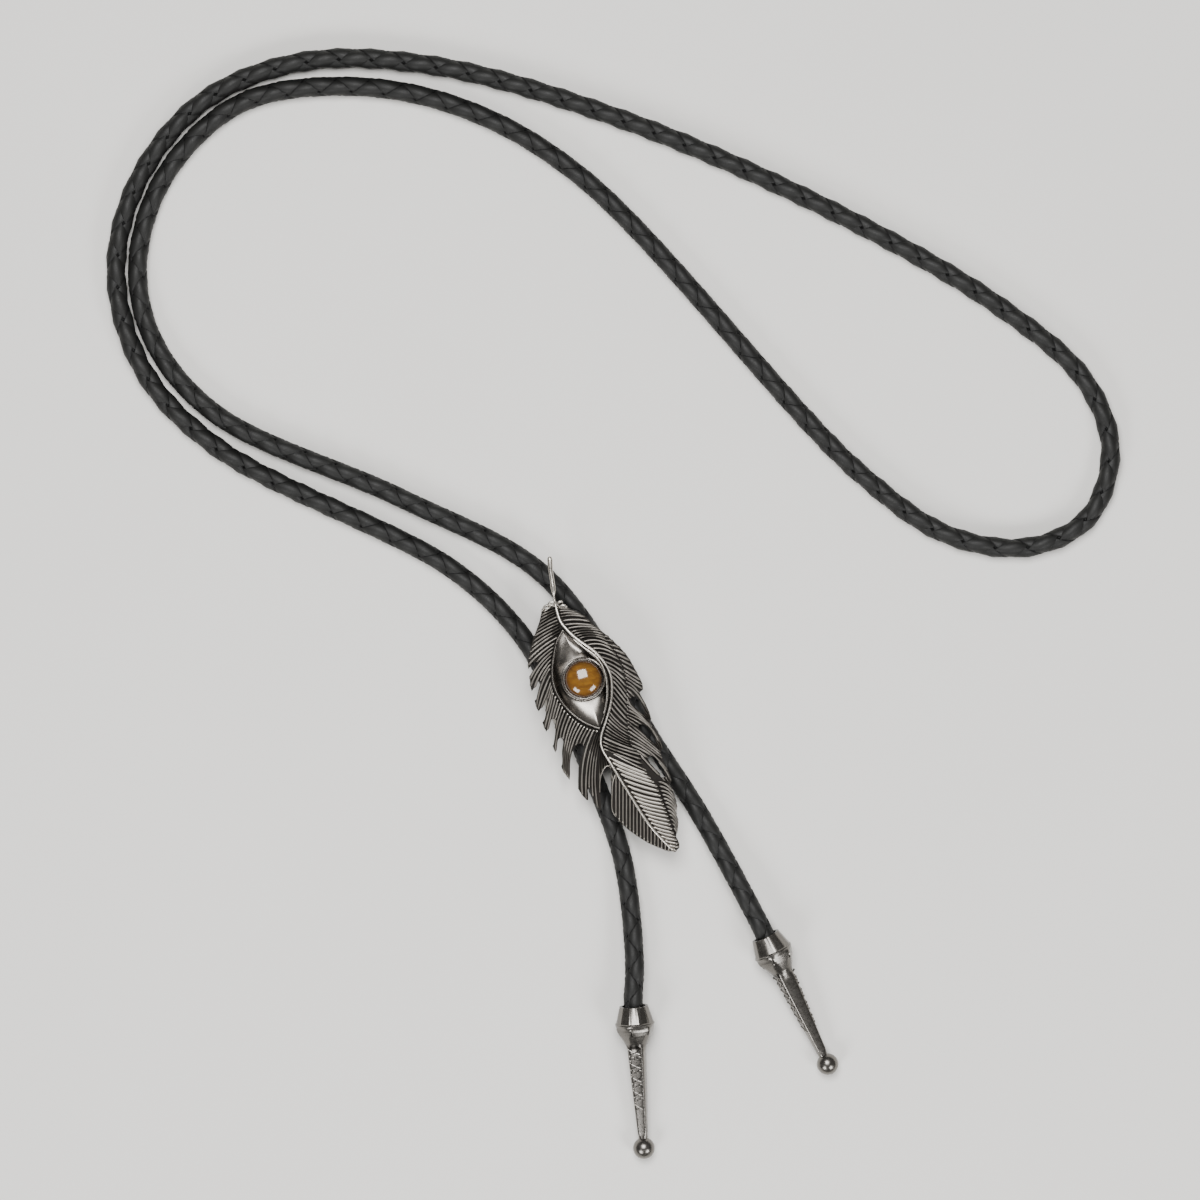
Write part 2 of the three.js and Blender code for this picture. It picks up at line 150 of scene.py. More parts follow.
# Guide barbs of each part of the feather, in order: plan points of the root, middle and tip.
LEFT_BARBS = [
    [(-9.0, 21.1), (-10.3, 20.7), (-11.9, 20.1)], [(-8.6, 19.7), (-10.5, 18.8), (-12.4, 17.6)],
    [(-8.2, 17.7), (-10.9, 16.4), (-13.4, 14.9)], [(-7.8, 15.9), (-11.2, 14.0), (-14.3, 11.5)],
    [(-9.0, 13.5), (-12.1, 11.4), (-14.8, 8.7)], [(-9.7, 10.9), (-12.4, 8.0), (-14.3, 4.1)],
    [(-10.0, 8.2), (-11.9, 4.6), (-13.0, -0.3)], [(-9.9, 5.3), (-11.1, 2.1), (-12.4, -1.1)],
    [(-9.4, 3.0), (-10.3, -0.8), (-11.3, -4.6)], [(-7.0, -0.7), (-8.4, -4.8), (-9.0, -9.4)],
    [(-5.2, -2.5), (-6.9, -7.5), (-7.2, -13.8)], [(-3.5, -3.8), (-5.8, -9.3), (-6.1, -15.4)],
    [(-1.6, -4.7), (-3.9, -10.6), (-4.1, -17.6)], [(-0.2, -4.9), (-2.2, -11.8), (-2.5, -19.6)],
    [(0.7, -6.0), (-0.6, -13.6), (0.0, -21.4)], [(0.7, -8.3), (0.3, -14.5), (0.8, -21.8)],
    [(1.3, -9.4), (2.6, -12.6), (3.0, -16.0)],
]
RIGHT_INNER_BARBS = [
    [(-8.5, 20.8), (-7.3, 20.8), (-5.4, 20.4)], [(-8.0, 18.9), (-5.4, 19.3), (-2.6, 18.9)],
    [(-7.3, 17.2), (-4.2, 17.5), (-0.9, 17.1)], [(-5.9, 15.7), (-2.6, 16.4), (0.7, 16.0)],
    [(-4.2, 14.3), (-1.2, 14.9), (1.9, 14.0)], [(-2.4, 13.0), (0.5, 13.2), (3.1, 12.0)],
    [(-0.4, 11.5), (2.0, 11.1), (4.5, 9.9)], [(1.2, 9.6), (3.3, 8.7), (5.5, 7.2)],
    [(2.3, 7.8), (4.2, 6.3), (5.9, 4.4)], [(3.0, 5.6), (4.6, 3.9), (6.1, 1.8)],
    [(3.0, 3.4), (4.5, 1.6), (6.2, -0.4)], [(2.8, 1.2), (4.4, -0.7), (6.1, -2.6)],
    [(2.4, -1.0), (4.2, -3.0), (6.3, -4.6)], [(1.8, -3.2), (4.1, -5.1), (6.5, -6.6)],
    [(1.2, -5.4), (3.9, -6.9), (6.9, -8.2)], [(0.8, -7.2), (4.6, -8.7), (8.9, -10.0)],
    [(0.9, -8.7), (4.4, -10.1), (9.3, -12.0)],
]
RIGHT_OUTER_BARBS = [
    [(-2.2, 18.7), (-1.8, 18.6), (-1.2, 18.2)], [(-0.6, 17.4), (0.2, 17.1), (1.2, 16.4)],
    [(0.9, 15.7), (2.2, 15.3), (3.5, 14.5)], [(2.0, 14.1), (3.7, 13.6), (5.3, 12.8)],
    [(3.4, 12.1), (5.1, 11.4), (6.7, 10.6)], [(4.7, 10.0), (6.2, 9.2), (7.6, 8.4)],
    [(5.5, 7.8), (7.1, 6.8), (9.0, 5.6)], [(5.9, 6.2), (7.6, 5.0), (9.5, 3.7)],
    [(6.1, 4.4), (8.6, 2.3), (11.1, -2.5)], [(6.1, 2.0), (7.5, -0.2), (10.6, -2.6)],
    [(6.2, -1.4), (11.0, -4.3), (13.5, -8.9)], [(6.3, -3.2), (9.3, -5.7), (12.8, -8.8)],
    [(6.5, -6.0), (9.9, -8.1), (13.5, -10.8)], [(7.0, -8.0), (12.3, -11.1), (15.4, -15.8)],
    [(8.9, -10.0), (11.0, -12.4), (14.4, -15.8)],
]
OVERLAY_BARBS = [
    [(2.0, -10.5), (6.0, -12.3), (10.3, -14.0)], [(4.5, -14.0), (8.3, -15.4), (12.5, -16.7)],
    [(6.7, -17.8), (10.0, -18.9), (13.5, -19.6)], [(9.1, -21.6), (11.8, -22.4), (14.8, -23.0)],
    [(11.4, -25.2), (13.6, -25.9), (15.9, -26.5)], [(13.8, -28.0), (15.2, -28.5), (16.9, -28.7)],
    [(15.5, -29.8), (16.2, -30.1), (17.0, -30.0)],
]
STRIP_BARBS = [
    [(12.5, -15.7), (14.2, -16.2), (15.6, -17.6)], [(13.0, -17.6), (15.1, -18.3), (16.4, -20.4)],
    [(13.9, -20.0), (15.6, -20.8), (16.6, -22.6)], [(14.8, -22.6), (16.0, -23.3), (16.8, -25.0)],
    [(15.8, -25.4), (16.4, -26.0), (16.7, -27.2)],
]
OVERLAY_RIGHT_EDGE = [
    (0.7, -8.6), (3.4, -9.9), (5.0, -10.8), (7.5, -12.0), (10.0, -13.2), (10.9, -14.2),
    (12.1, -15.6), (12.9, -17.6), (13.4, -19.0), (14.4, -21.8), (15.3, -24.2), (16.2, -26.8),
    (17.1, -28.7), (17.1, -29.6), (16.5, -30.2), (15.9, -30.4),
]
OVERLAY_LEFT_EDGE = [
    (15.9, -30.4), (14.3, -30.2), (12.3, -29.4), (10.5, -28.6), (8.4, -27.3), (6.2, -25.7),
    (4.5, -24.1), (3.4, -22.7), (2.95, -21.8), (2.9, -18.0), (3.2, -14.2), (3.6, -13.2),
    (1.8, -10.4),
]
EYE_LEFT = [
    (-7.6, 16.5), (-8.9, 14.0), (-9.6, 10.8), (-10.0, 8.1), (-9.8, 5.1), (-8.9, 2.5),
    (-7.4, 0.2), (-5.3, -1.9), (-2.8, -3.6), (0.4, -4.9),
]
EYE_RIGHT = [
    (0.4, -4.9), (1.6, -1.6), (2.3, 1.7), (2.4, 4.7), (1.8, 7.8), (0.1, 10.4), (-2.6, 12.6),
    (-5.4, 14.6), (-7.6, 16.5),
]

# Shafts: plan point, height of the middle line, radius.
RACHIS = [
    (-9.2, 22.4, 8.7, 0.26), (-8.8, 20.8, 8.9, 0.30), (-7.9, 18.0, 9.2, 0.32),
    (-5.9, 15.6, 9.6, 0.32), (-3.6, 13.7, 9.8, 0.31), (-1.0, 11.9, 9.85, 0.30),
    (1.2, 9.5, 9.85, 0.28), (2.5, 7.0, 9.85, 0.27), (2.9, 4.2, 9.8, 0.27), (2.6, 0.6, 9.6, 0.27),
    (1.6, -3.0, 9.4, 0.27), (0.7, -5.9, 9.3, 0.27), (0.7, -8.3, 9.4, 0.28),
    (3.0, -12.4, 9.65, 0.30), (6.3, -17.8, 9.7, 0.30), (11.0, -25.0, 9.6, 0.30),
    (15.9, -30.3, 9.2, 0.26),
]
EYE_SECOND_LINE = [
    (-5.4, 14.4, 9.5, 0.16), (-2.9, 12.5, 9.6, 0.17), (-0.4, 10.6, 9.65, 0.18),
    (1.2, 8.0, 9.65, 0.18), (1.8, 4.9, 9.6, 0.18), (1.8, 1.9, 9.5, 0.17), (1.2, -1.4, 9.3, 0.12),
]
OVERLAY_RIMS = [
    [(3.3, -9.9, 9.35, 0.16), (5.0, -10.8, 9.45, 0.20), (7.5, -12.05, 9.45, 0.20),
     (10.1, -13.3, 9.3, 0.15)],
    [(3.7, -14.0, 9.1, 0.14), (3.15, -15.6, 9.1, 0.19), (2.95, -18.0, 9.05, 0.19),
     (3.0, -21.6, 8.95, 0.18), (3.7, -23.0, 8.9, 0.14)],
]
SLOT_RIM = [
    (0.35, -18.0, 8.3, 0.14), (0.4, -15.6, 8.4, 0.16), (0.9, -13.6, 8.45, 0.16),
    (1.7, -12.5, 8.5, 0.16), (2.6, -12.4, 8.5, 0.14),
]
QUILL = [
    (-9.1, 21.9, 8.8, 0.30), (-9.25, 22.8, 8.85, 0.22), (-9.3, 23.4, 8.9, 0.20),
    (-9.35, 24.0, 8.95, 0.36), (-9.45, 25.0, 9.0, 0.50), (-9.7, 26.8, 9.05, 0.48),
    (-10.0, 28.8, 9.1, 0.50), (-10.1, 30.4, 9.15, 0.53), (-10.15, 31.2, 9.15, 0.50),
    (-10.17, 31.55, 9.15, 0.36), (-10.18, 31.7, 9.15, 0.12),
]
TUFTS = [
    [(-8.7, 21.5, 8.8, 0.26), (-9.3, 22.0, 9.0, 0.30), (-10.0, 22.0, 9.0, 0.30),
     (-10.6, 21.4, 8.9, 0.28), (-11.2, 21.1, 8.8, 0.28), (-11.6, 20.5, 8.6, 0.24),
     (-12.0, 20.2, 8.5, 0.12)],
    [(-9.0, 21.2, 8.8, 0.22), (-9.8, 21.4, 8.9, 0.24), (-10.4, 20.9, 8.8, 0.22),
     (-11.0, 20.4, 8.7, 0.22), (-11.3, 20.1, 8.5, 0.12)],
    [(-8.8, 21.4, 8.8, 0.24), (-8.3, 22.0, 9.0, 0.26), (-7.8, 22.2, 9.0, 0.26),
     (-7.5, 21.9, 8.8, 0.16)],
    [(-8.3, 21.0, 8.8, 0.22), (-7.6, 21.4, 8.9, 0.26), (-7.0, 21.3, 8.9, 0.28),
     (-6.6, 20.9, 8.8, 0.20)],
]

# The back clasp: its turn from straight across, and its sizes in millimetres. The seam is the slit
# between the ends of the strip, and the pad is where the feather is soldered on.
CLASP_TURN = math.radians(28.35)
CLASP = {"channel_spacing": 13.1, "outer": 3.4, "ahead": 3.0, "softening": 0.15}
CLASP_SEAM = (2.2, 2.3)
CLASP_PAD = [(-4, 0), (4, 0), (4, 6), (-4, 6)]

# The tips: plan points of the mouth and ball in millimetres, and turns in degrees. The roll turns a
# whole tip about its line; on the tip itself, its collar's flats stand at the roll plus the flat.
TIP_PLACES = [
    {"node": "tip_left", "mouth": (7.5, -63.2), "ball": (9.7, -93.5), "roll": 14.0, "flat": 0.0},
    {"node": "tip_right", "mouth": (35.3, -48.4), "ball": (48.7, -76.0), "roll": 72.0, "flat": -6.0},
]
TIP_PITCH = math.radians(4.073)

# Heights in the casting, in millimetres.
CAST_BACK, PLATE_TOP, OVERLAY_BACK, OVERLAY_TOP = 7.1, 7.8, 8.0, 8.7
BEZEL = {"x": -3.1, "y": 5.9, "outer": 4.65, "inner": 4.2, "top": 9.75}
BOWL_FLOOR, EYE_CREST = 8.2, 9.5


# ------------------------------------------------------------------ colours and settings


def linear(hex_colour):
    """An sRGB hex colour as linear red, green, blue and alpha."""
    parts = [int(hex_colour[i : i + 2], 16) / 255 for i in (1, 3, 5)]
    return [c / 12.92 if c <= 0.04045 else ((c + 0.055) / 1.055) ** 2.4 for c in parts] + [1.0]


def colour(name, description, default):
    return bpy.props.FloatVectorProperty(
        name=name, description=description, default=linear(default), size=4, subtype="COLOR",
        min=0.0, max=1.0,
    )


def length(name, description, default):
    return bpy.props.FloatProperty(
        name=name, description=description, default=default, unit="LENGTH", min=0.0, precision=5,
    )


class BoloStageSettings(bpy.types.PropertyGroup):
    floor_colour: colour("Floor", "Colour of the matte floor", "#e9e7e3")
    key_power: bpy.props.FloatProperty(
        name="Key light", description="Power of the large soft light in watts", default=9.0,
        unit="POWER",
    )
    fill_power: bpy.props.FloatProperty(
        name="Fill lights", description="Power of each small soft light in watts", default=3.0,
        unit="POWER",
    )
    camera_height: length("Camera height", "Height of the camera above the floor", 1.1)
    view_width: length("View width", "Width of floor that the camera takes in", 0.2544)


class BoloCordSettings(bpy.types.PropertyGroup):
    diameter: length("Diameter", "Thickness over the crests of the braid", 0.0044)
    pitch: length("Pitch", "Length of one full turn of a strand", 0.0138)
    strand_thickness: length("Strand thickness", "Thickness of one flat strand", 0.0009)
    leather: colour("Leather", "Colour of the crests of the strands", "#1a1a19")
    # Painted shade: this near-black colour goes down the grooves and onto strands that pass under.
    groove_shade: colour("Groove", "Colour down between the strands", "#030303")


class BoloFeatherSettings(bpy.types.PropertyGroup):
    barb_spacing: length("Barb spacing", "Distance between two barbs of the vane", 0.0007)
    recess: colour("Recess", "Colour of the darkened low places", "#262422")
    ridge: colour("Ridge", "Colour of the rubbed ridges", "#918c85")
    polished: colour("Polished", "Colour of the smooth polished places", "#938e88")
    shaft: colour("Shafts", "Colour of the bright round shafts", "#bdb8b0")


class BoloStoneSettings(bpy.types.PropertyGroup):
    radius: length("Radius", "Radius of the cabochon", 0.00397)
    body: colour("Body", "Main colour of the stone", "#5f3d10")
    bright: colour("Bright band", "Colour of its bright fibres", "#7f5718")
    # The dark colour is used only towards the rim, as painted shade.
    dark: colour("Dark band", "Colour of its dark fibres and rim", "#2e1606")


class BoloTipSettings(bpy.types.PropertyGroup):
    facets: bpy.props.IntProperty(
        name="Collar facets", description="Number of flats round the collar", default=12, min=6,
    )
    petals: bpy.props.IntProperty(
        name="Petals", description="Number of petals round the cup", default=6, min=4,
    )
    metal: colour("Metal", "Colour of the polished casting", "#716e6a")
    ornament_cells: bpy.props.IntProperty(
        name="Ornament cells", description="Number of motifs along the stem", default=9, min=1,
    )


class BoloClaspSettings(bpy.types.PropertyGroup):
    length: length("Length", "Length of the sleeve along the strands", 0.008)
    wall: length("Wall", "Thickness of the bent strip", 0.0009)
    metal: colour("Metal", "Colour of the strip", "#8b8781")
    dull: colour("Dull metal", "Colour of the strip where its plating is dull", "#4a4744")


class BoloTieSettings(bpy.types.PropertyGroup):
    stage: bpy.props.PointerProperty(type=BoloStageSettings)
    cord: bpy.props.PointerProperty(type=BoloCordSettings)
    feather: bpy.props.PointerProperty(type=BoloFeatherSettings)
    stone: bpy.props.PointerProperty(type=BoloStoneSettings)
    tips: bpy.props.PointerProperty(type=BoloTipSettings)
    clasp: bpy.props.PointerProperty(type=BoloClaspSettings)


# ------------------------------------------------------------------ curves


def route_through(points, steps):
    """A centripetal Catmull-Rom line through the points, with the given steps in each span."""
    p = np.array(points, float)
    ends = np.vstack([2 * p[0] - p[1], p, 2 * p[-1] - p[-2]])
    line = []
    for p0, p1, p2, p3 in zip(ends, ends[1:], ends[2:], ends[3:]):
        d0, d1, d2 = (max(np.linalg.norm(b - a) ** 0.5, 1e-9)
                      for a, b in ((p0, p1), (p1, p2), (p2, p3)))
        leave = ((p1 - p0) / d0 - (p2 - p0) / (d0 + d1) + (p2 - p1) / d1) * d1
        arrive = ((p2 - p1) / d1 - (p3 - p1) / (d1 + d2) + (p3 - p2) / d2) * d1
        for t in np.arange(steps) / steps:
            line.append(
                p1 + leave * t + (3 * (p2 - p1) - 2 * leave - arrive) * t * t
                + (2 * (p1 - p2) + leave + arrive) * t ** 3
            )
    line.append(p[-1])
    return np.array(line)


def evenly(line, count):
    """The same line as points at equal distances along it, and its length."""
    along = np.concatenate([[0], np.cumsum(np.linalg.norm(np.diff(line, axis=0), axis=1))])
    stations = np.linspace(0, along[-1], count)
    even = np.stack([np.interp(stations, along, line[:, k]) for k in range(line.shape[1])], 1)
    return even, along[-1]


def side_and_up(line):
    """Unit directions across a nearly level line: to its side, and up."""
    ahead = np.gradient(line[:, :3], axis=0)
    ahead /= np.linalg.norm(ahead, axis=1)[:, None]
    side = np.cross([0.0, 0.0, 1.0], ahead)
    side /= np.linalg.norm(side, axis=1)[:, None]
    return side, np.cross(ahead, side)


def smoothstep(low, high, value):
    t = np.clip((value - low) / (high - low), 0, 1)
    return t * t * (3 - 2 * t)


# ------------------------------------------------------------------ meshes


class Shell:
    """Vertices, faces and a relief value for each vertex, gathered into one mesh."""

    def __init__(self):
        self.points, self.relief, self.faces = [], [], []

    def grid(self, rings, relief, capped=True):
        """Adds closed rings of points joined by quads; caps fill the two ends."""
        start = len(self.points)
        rows, cols = rings.shape[:2]
        self.points += rings.reshape(-1, 3).tolist()
        self.relief += np.broadcast_to(relief, (rows, cols)).reshape(-1).tolist()
        for i in range(rows - 1):
            a = start + i * cols
            for j in range(cols):
                k = (j + 1) % cols
                self.faces.append((a + j, a + k, a + cols + k, a + cols + j))
        if capped:
            self.faces.append(tuple(start + j for j in reversed(range(cols))))
            self.faces.append(tuple(start + (rows - 1) * cols + j for j in range(cols)))

    def prism(self, outline, bottom, top, relief, bevel=0.0):
        """Adds a flat plate with a plan outline; a bevel draws its two faces in from the rim."""
        flat = np.array(outline, float)
        inner = inset(flat, bevel) if bevel else flat
        rows = []
        for plan, z in ((inner, bottom), (flat, bottom + bevel), (flat, top - bevel), (inner, top)):
            rows.append(np.column_stack([plan, np.full(len(plan), z)]))
        self.grid(np.array(rows), relief)

    def tube(self, rows, sides, relief=None):
        """Adds a round rod along rows of x, y, z and radius; it is brightest along its top."""
        line = np.array(rows, float)
        angles = np.arange(sides) * 2 * np.pi / sides
        if relief is None:
            relief = 0.55 + 0.45 * np.sin(angles)[None, :]
        side, up = side_and_up(line)
        self.grid(rings_round(line[:, :3], side, up, angles, line[:, 3], line[:, 3]), relief)

    def build(self, name, material, scale=1.0, sharp=None, placed=None):
        mesh = bpy.data.meshes.new(name)
        mesh.from_pydata([[c * scale for c in p] for p in self.points], [], self.faces)
        mesh.validate()
        mesh.polygons.foreach_set("use_smooth", [True] * len(mesh.polygons))
        if sharp is not None:
            mesh.set_sharp_from_angle(angle=math.radians(sharp))
        store = mesh.attributes.new("relief", "FLOAT", "POINT")
        store.data.foreach_set("value", self.relief)
        mesh.materials.append(material)
        if placed is not None:
            mesh.transform(placed)
        mesh.update()
        piece = bpy.data.objects.new(name, mesh)
        bpy.context.scene.collection.objects.link(piece)
        return piece


def rings_round(line, side, up, angles, width, height):
    """An oval ring of points round each point of a line: half its width, and half its height."""
    across = np.cos(angles)[None, :, None] * side[:, None] * np.reshape(width, (-1, 1, 1))
    over = np.sin(angles)[None, :, None] * up[:, None] * np.reshape(height, (-1, 1, 1))
    return line[:, None] + across + over


def inset(outline, distance):
    """Moves each corner of a plan outline inwards by a distance, along its two edges' bisector."""
    following = np.roll(outline, -1, axis=0)
    ahead = following - outline
    ahead /= np.maximum(np.linalg.norm(ahead, axis=1)[:, None], 1e-9)
    normal = np.column_stack([-ahead[:, 1], ahead[:, 0]])
    area = np.sum(outline[:, 0] * following[:, 1] - outline[:, 1] * following[:, 0])
    mean = normal + np.roll(normal, 1, axis=0)
    mean /= np.maximum(np.linalg.norm(mean, axis=1)[:, None], 0.5)
    return outline + mean * distance * np.sign(area)


# ------------------------------------------------------------------ materials


def add_node(tree, kind, settings=None, **inputs):
    """Adds a shader node, sets its properties, and sets or links its inputs by socket name.

    A trailing number picks one of several inputs that share a name, as in Value_1.
    """
    node = tree.nodes.new(kind)
    for key, value in (settings or {}).items():
        setattr(node, key, value)
    for key, value in inputs.items():
        socket = find_input(node, key)
        if isinstance(value, bpy.types.NodeSocket):
            tree.links.new(value, socket)
        else:
            socket.default_value = value
    return node


def find_input(node, key):
    name, _, number = key.rpartition("_")
    if number.isdigit():
        matches = [s for s in node.inputs if s.enabled and s.name == name.replace("_", " ")]
        return matches[int(number)]
    wanted = key.replace("_", " ")
    return next(s for s in node.inputs if s.enabled and s.name == wanted)


def new_material(name):
    material = bpy.data.materials.new(name)
    material.use_nodes = True
    tree = material.node_tree
    tree.nodes.clear()
    output = add_node(tree, "ShaderNodeOutputMaterial")
    shader = add_node(tree, "ShaderNodeBsdfPrincipled")
    tree.links.new(shader.outputs[0], output.inputs[0])
    return material, tree, shader


def place_on_object(tree):
    return add_node(tree, "ShaderNodeTexCoord").outputs["Object"]


def surface(tree):
    """The relief painted on the mesh, and the place on the object."""
    relief = add_node(tree, "ShaderNodeAttribute", {"attribute_name": "relief"}).outputs["Fac"]
    return relief, place_on_object(tree)


def per_metre(millimetres):
    """Texture scale whose features are about that many millimetres apart."""
    return 1.0 / (millimetres * MM)


def noise(tree, place, millimetres, detail, distortion=0.0):
    """Cloudy noise whose features are about that many millimetres apart."""
    node = add_node(tree, "ShaderNodeTexNoise", Vector=place, Scale=per_metre(millimetres),
                    Detail=detail, Distortion=distortion)
    return node.outputs[0]


def remap(tree, value, source, target=(0.0, 1.0), eased=False):
    """A value taken from one range to another, eased at both ends where that is asked for."""
    kind = {"interpolation_type": "SMOOTHSTEP"} if eased else None
    node = add_node(tree, "ShaderNodeMapRange", kind, Value=value, From_Min=source[0],
                    From_Max=source[1], To_Min=target[0], To_Max=target[1])
    return node.outputs[0]


def scaled_sum(tree, value, scale, base):
    """One value times a number, plus another value."""
    node = add_node(tree, "ShaderNodeMath", {"operation": "MULTIPLY_ADD"}, Value_0=value,
                    Value_1=scale, Value_2=base)
    return node.outputs[0]


def roughen(tree, shader, height, strength, millimetres):
    """Lets a height pattern tilt the surface, for a stated depth."""
    bump = add_node(tree, "ShaderNodeBump", Strength=strength, Distance=millimetres * MM,
                    Height=height)
    tree.links.new(bump.outputs[0], shader.inputs["Normal"])


def mix_colours(tree, factor, first, second):
    node = add_node(tree, "ShaderNodeMix", {"data_type": "RGBA"}, Factor=factor)
    pairs = zip([s for s in node.inputs if s.type == "RGBA"], (first, second))
    for socket, value in pairs:
        if isinstance(value, bpy.types.NodeSocket):
            tree.links.new(value, socket)
        else:
            socket.default_value = list(value)
    return next(s for s in node.outputs if s.type == "RGBA")


def lacquered_leather(settings):
    """Split cowhide lace, drum dyed black and lacquered: soft sheen, paler on the crests where worn,
    with painted shade down the grooves and on strands that pass under.
    """
    material, tree, shader = new_material("lacquered_cowhide_lace")
    relief, place = surface(tree)
    # The crest mask paints shade down the grooves and on strands that pass under; the noise adds
    # uneven wear.
    crest = remap(tree, relief, (0.25, 0.85), eased=True)
    wear = remap(tree, noise(tree, place, 6, 3.0), (0.3, 0.7), (0.75, 1.0))
    worn = add_node(tree, "ShaderNodeMath", {"operation": "MULTIPLY"}, Value_0=crest, Value_1=wear)
    tone = mix_colours(tree, worn.outputs[0], settings.groove_shade, settings.leather)
    tree.links.new(tone, shader.inputs["Base Color"])
    pores = noise(tree, place, 0.25, 4.0)
    rough = remap(tree, pores, (0.3, 0.7), (0.46, 0.62))
    tree.links.new(rough, shader.inputs["Roughness"])
    grain = add_node(tree, "ShaderNodeTexVoronoi", {"feature": "DISTANCE_TO_EDGE"},
                     Vector=place, Scale=per_metre(0.45))
    roughen(tree, shader, scaled_sum(tree, grain.outputs[0], 0.6, pores), 0.35, 0.06)
    shader.inputs["IOR"].default_value = 1.48
    shader.inputs["Specular IOR Level"].default_value = 0.32
    return material


def antiqued_casting(settings):
    """Silver-plated casting, blackened and rubbed back: dark grooves under bright worn ridges."""
    material, tree, shader = new_material("antiqued_silver_casting")
    relief, place = surface(tree)
    uneven = scaled_sum(tree, noise(tree, place, 2.5, 3.0), 0.35, relief)
    rub = remap(tree, uneven, (0.62, 1.35), eased=True)
    tone = mix_colours(tree, rub, settings.recess, settings.ridge)
    tree.links.new(tone, shader.inputs["Base Color"])
    shader.inputs["Metallic"].default_value = 1.0
    tree.links.new(remap(tree, rub, (0.0, 1.0), (0.55, 0.3)), shader.inputs["Roughness"])
    roughen(tree, shader, noise(tree, place, 0.18, 2.0), 0.12, 0.01)
    return material


def polished_casting(name, recess, metal):
    """The same plate where it is smooth: buffed, a little smoky, with faint wiping marks. In the eye's
    bowl the relief it reads also carries a painted reflection.
    """
    material, tree, shader = new_material(name)
    relief, place = surface(tree)
    uneven = scaled_sum(tree, noise(tree, place, 3.0, 4.0), 0.25, relief)
    rub = remap(tree, uneven, (0.15, 0.75), eased=True)
    tree.links.new(mix_colours(tree, rub, recess, metal), shader.inputs["Base Color"])
    shader.inputs["Metallic"].default_value = 1.0
    marks = noise(tree, place, 0.6, 3.0)
    tree.links.new(remap(tree, marks, (0.3, 0.7), (0.24, 0.32)), shader.inputs["Roughness"])
    return material


def polished_quartz(settings):
    """Fibrous quartz, cut and polished as a cabochon: amber bands under a glassy surface."""
    material, tree, shader = new_material("polished_fibrous_quartz")
    relief, place = surface(tree)
    turned = add_node(tree, "ShaderNodeMapping", Vector=place, Rotation=(0.0, 0.0, 0.5),
                      Scale=(1.0, 2.5, 1.0))
    bands = noise(tree, turned.outputs[0], 2.2, 6.0, 0.6)
    light = remap(tree, bands, (0.3, 0.8), eased=True)
    tone = mix_colours(tree, light, settings.body, settings.bright)
    # Painted shade: the stone is darker towards its rim.
    edge = remap(tree, relief, (0.0, 0.75), eased=True)
    tone = mix_colours(tree, edge, settings.dark, tone)
    tree.links.new(tone, shader.inputs["Base Color"])
    shader.inputs["Roughness"].default_value = 0.12
    shader.inputs["IOR"].default_value = 1.54
    shader.inputs["Coat Weight"].default_value = 0.6
    shader.inputs["Coat Roughness"].default_value = 0.04
    shader.inputs["Subsurface Weight"].default_value = 0.15
    shader.inputs["Subsurface Radius"].default_value = (1.0, 0.45, 0.1)
    shader.inputs["Subsurface Scale"].default_value = 0.0012
    return material


def rolled_strip(settings):
    """Nickel-plated strip, rolled and bent: satin, with faint lines along the rolling direction."""
    material, tree, shader = new_material("rolled_nickel_plated_strip")
    place = place_on_object(tree)
    turned = add_node(tree, "ShaderNodeMapping", Vector=place, Rotation=(0.0, 0.0, -CLASP_TURN),
                      Scale=(1.0, 0.08, 1.0))
    shade = remap(tree, noise(tree, place, 4, 3.0), (0.3, 0.7), (0.0, 0.35))
    tone = mix_colours(tree, shade, settings.metal, settings.dull)
    tree.links.new(tone, shader.inputs["Base Color"])
    shader.inputs["Metallic"].default_value = 1.0
    lines = noise(tree, turned.outputs[0], 0.25, 3.0)
    tree.links.new(remap(tree, lines, (0.3, 0.7), (0.28, 0.45)), shader.inputs["Roughness"])
    roughen(tree, shader, lines, 0.15, 0.01)
    return material


def matte_board(settings):
    """Painted board, rolled matte: an even pale surface that only takes soft shadows."""
    material, tree, shader = new_material("matte_painted_board")
    place = place_on_object(tree)
    tint = [c * 0.94 for c in settings.floor_colour[:3]] + [1.0]
    tone = mix_colours(tree, noise(tree, place, 60, 4.0), settings.floor_colour, tint)
    tree.links.new(tone, shader.inputs["Base Color"])
    shader.inputs["Roughness"].default_value = 0.85
    return material


# ------------------------------------------------------------------ stage


# The middle of the view, on the floor, in metres; the lights point at it.
VIEW_MIDDLE = Vector((0.0004, 0.0225, 0.0))
FLOOR_SIDE = 4.0
# Colour and strength of the even light from all round.
SKY_COLOUR, SKY_STRENGTH = "#d4d2cf", 0.28


def soft_light(name, place, size, power):
    """Adds a square soft light, in metres and watts, aimed at the middle of the view."""
    light = bpy.data.lights.new(name, "AREA")
    light.shape = "RECTANGLE"
    light.size = light.size_y = size
    light.energy = power
    holder = bpy.data.objects.new(name, light)
    bpy.context.scene.collection.objects.link(holder)
    holder.visible_camera = False
    holder.location = place
    holder.rotation_euler = (VIEW_MIDDLE - Vector(place)).to_track_quat("-Z", "Y").to_euler()


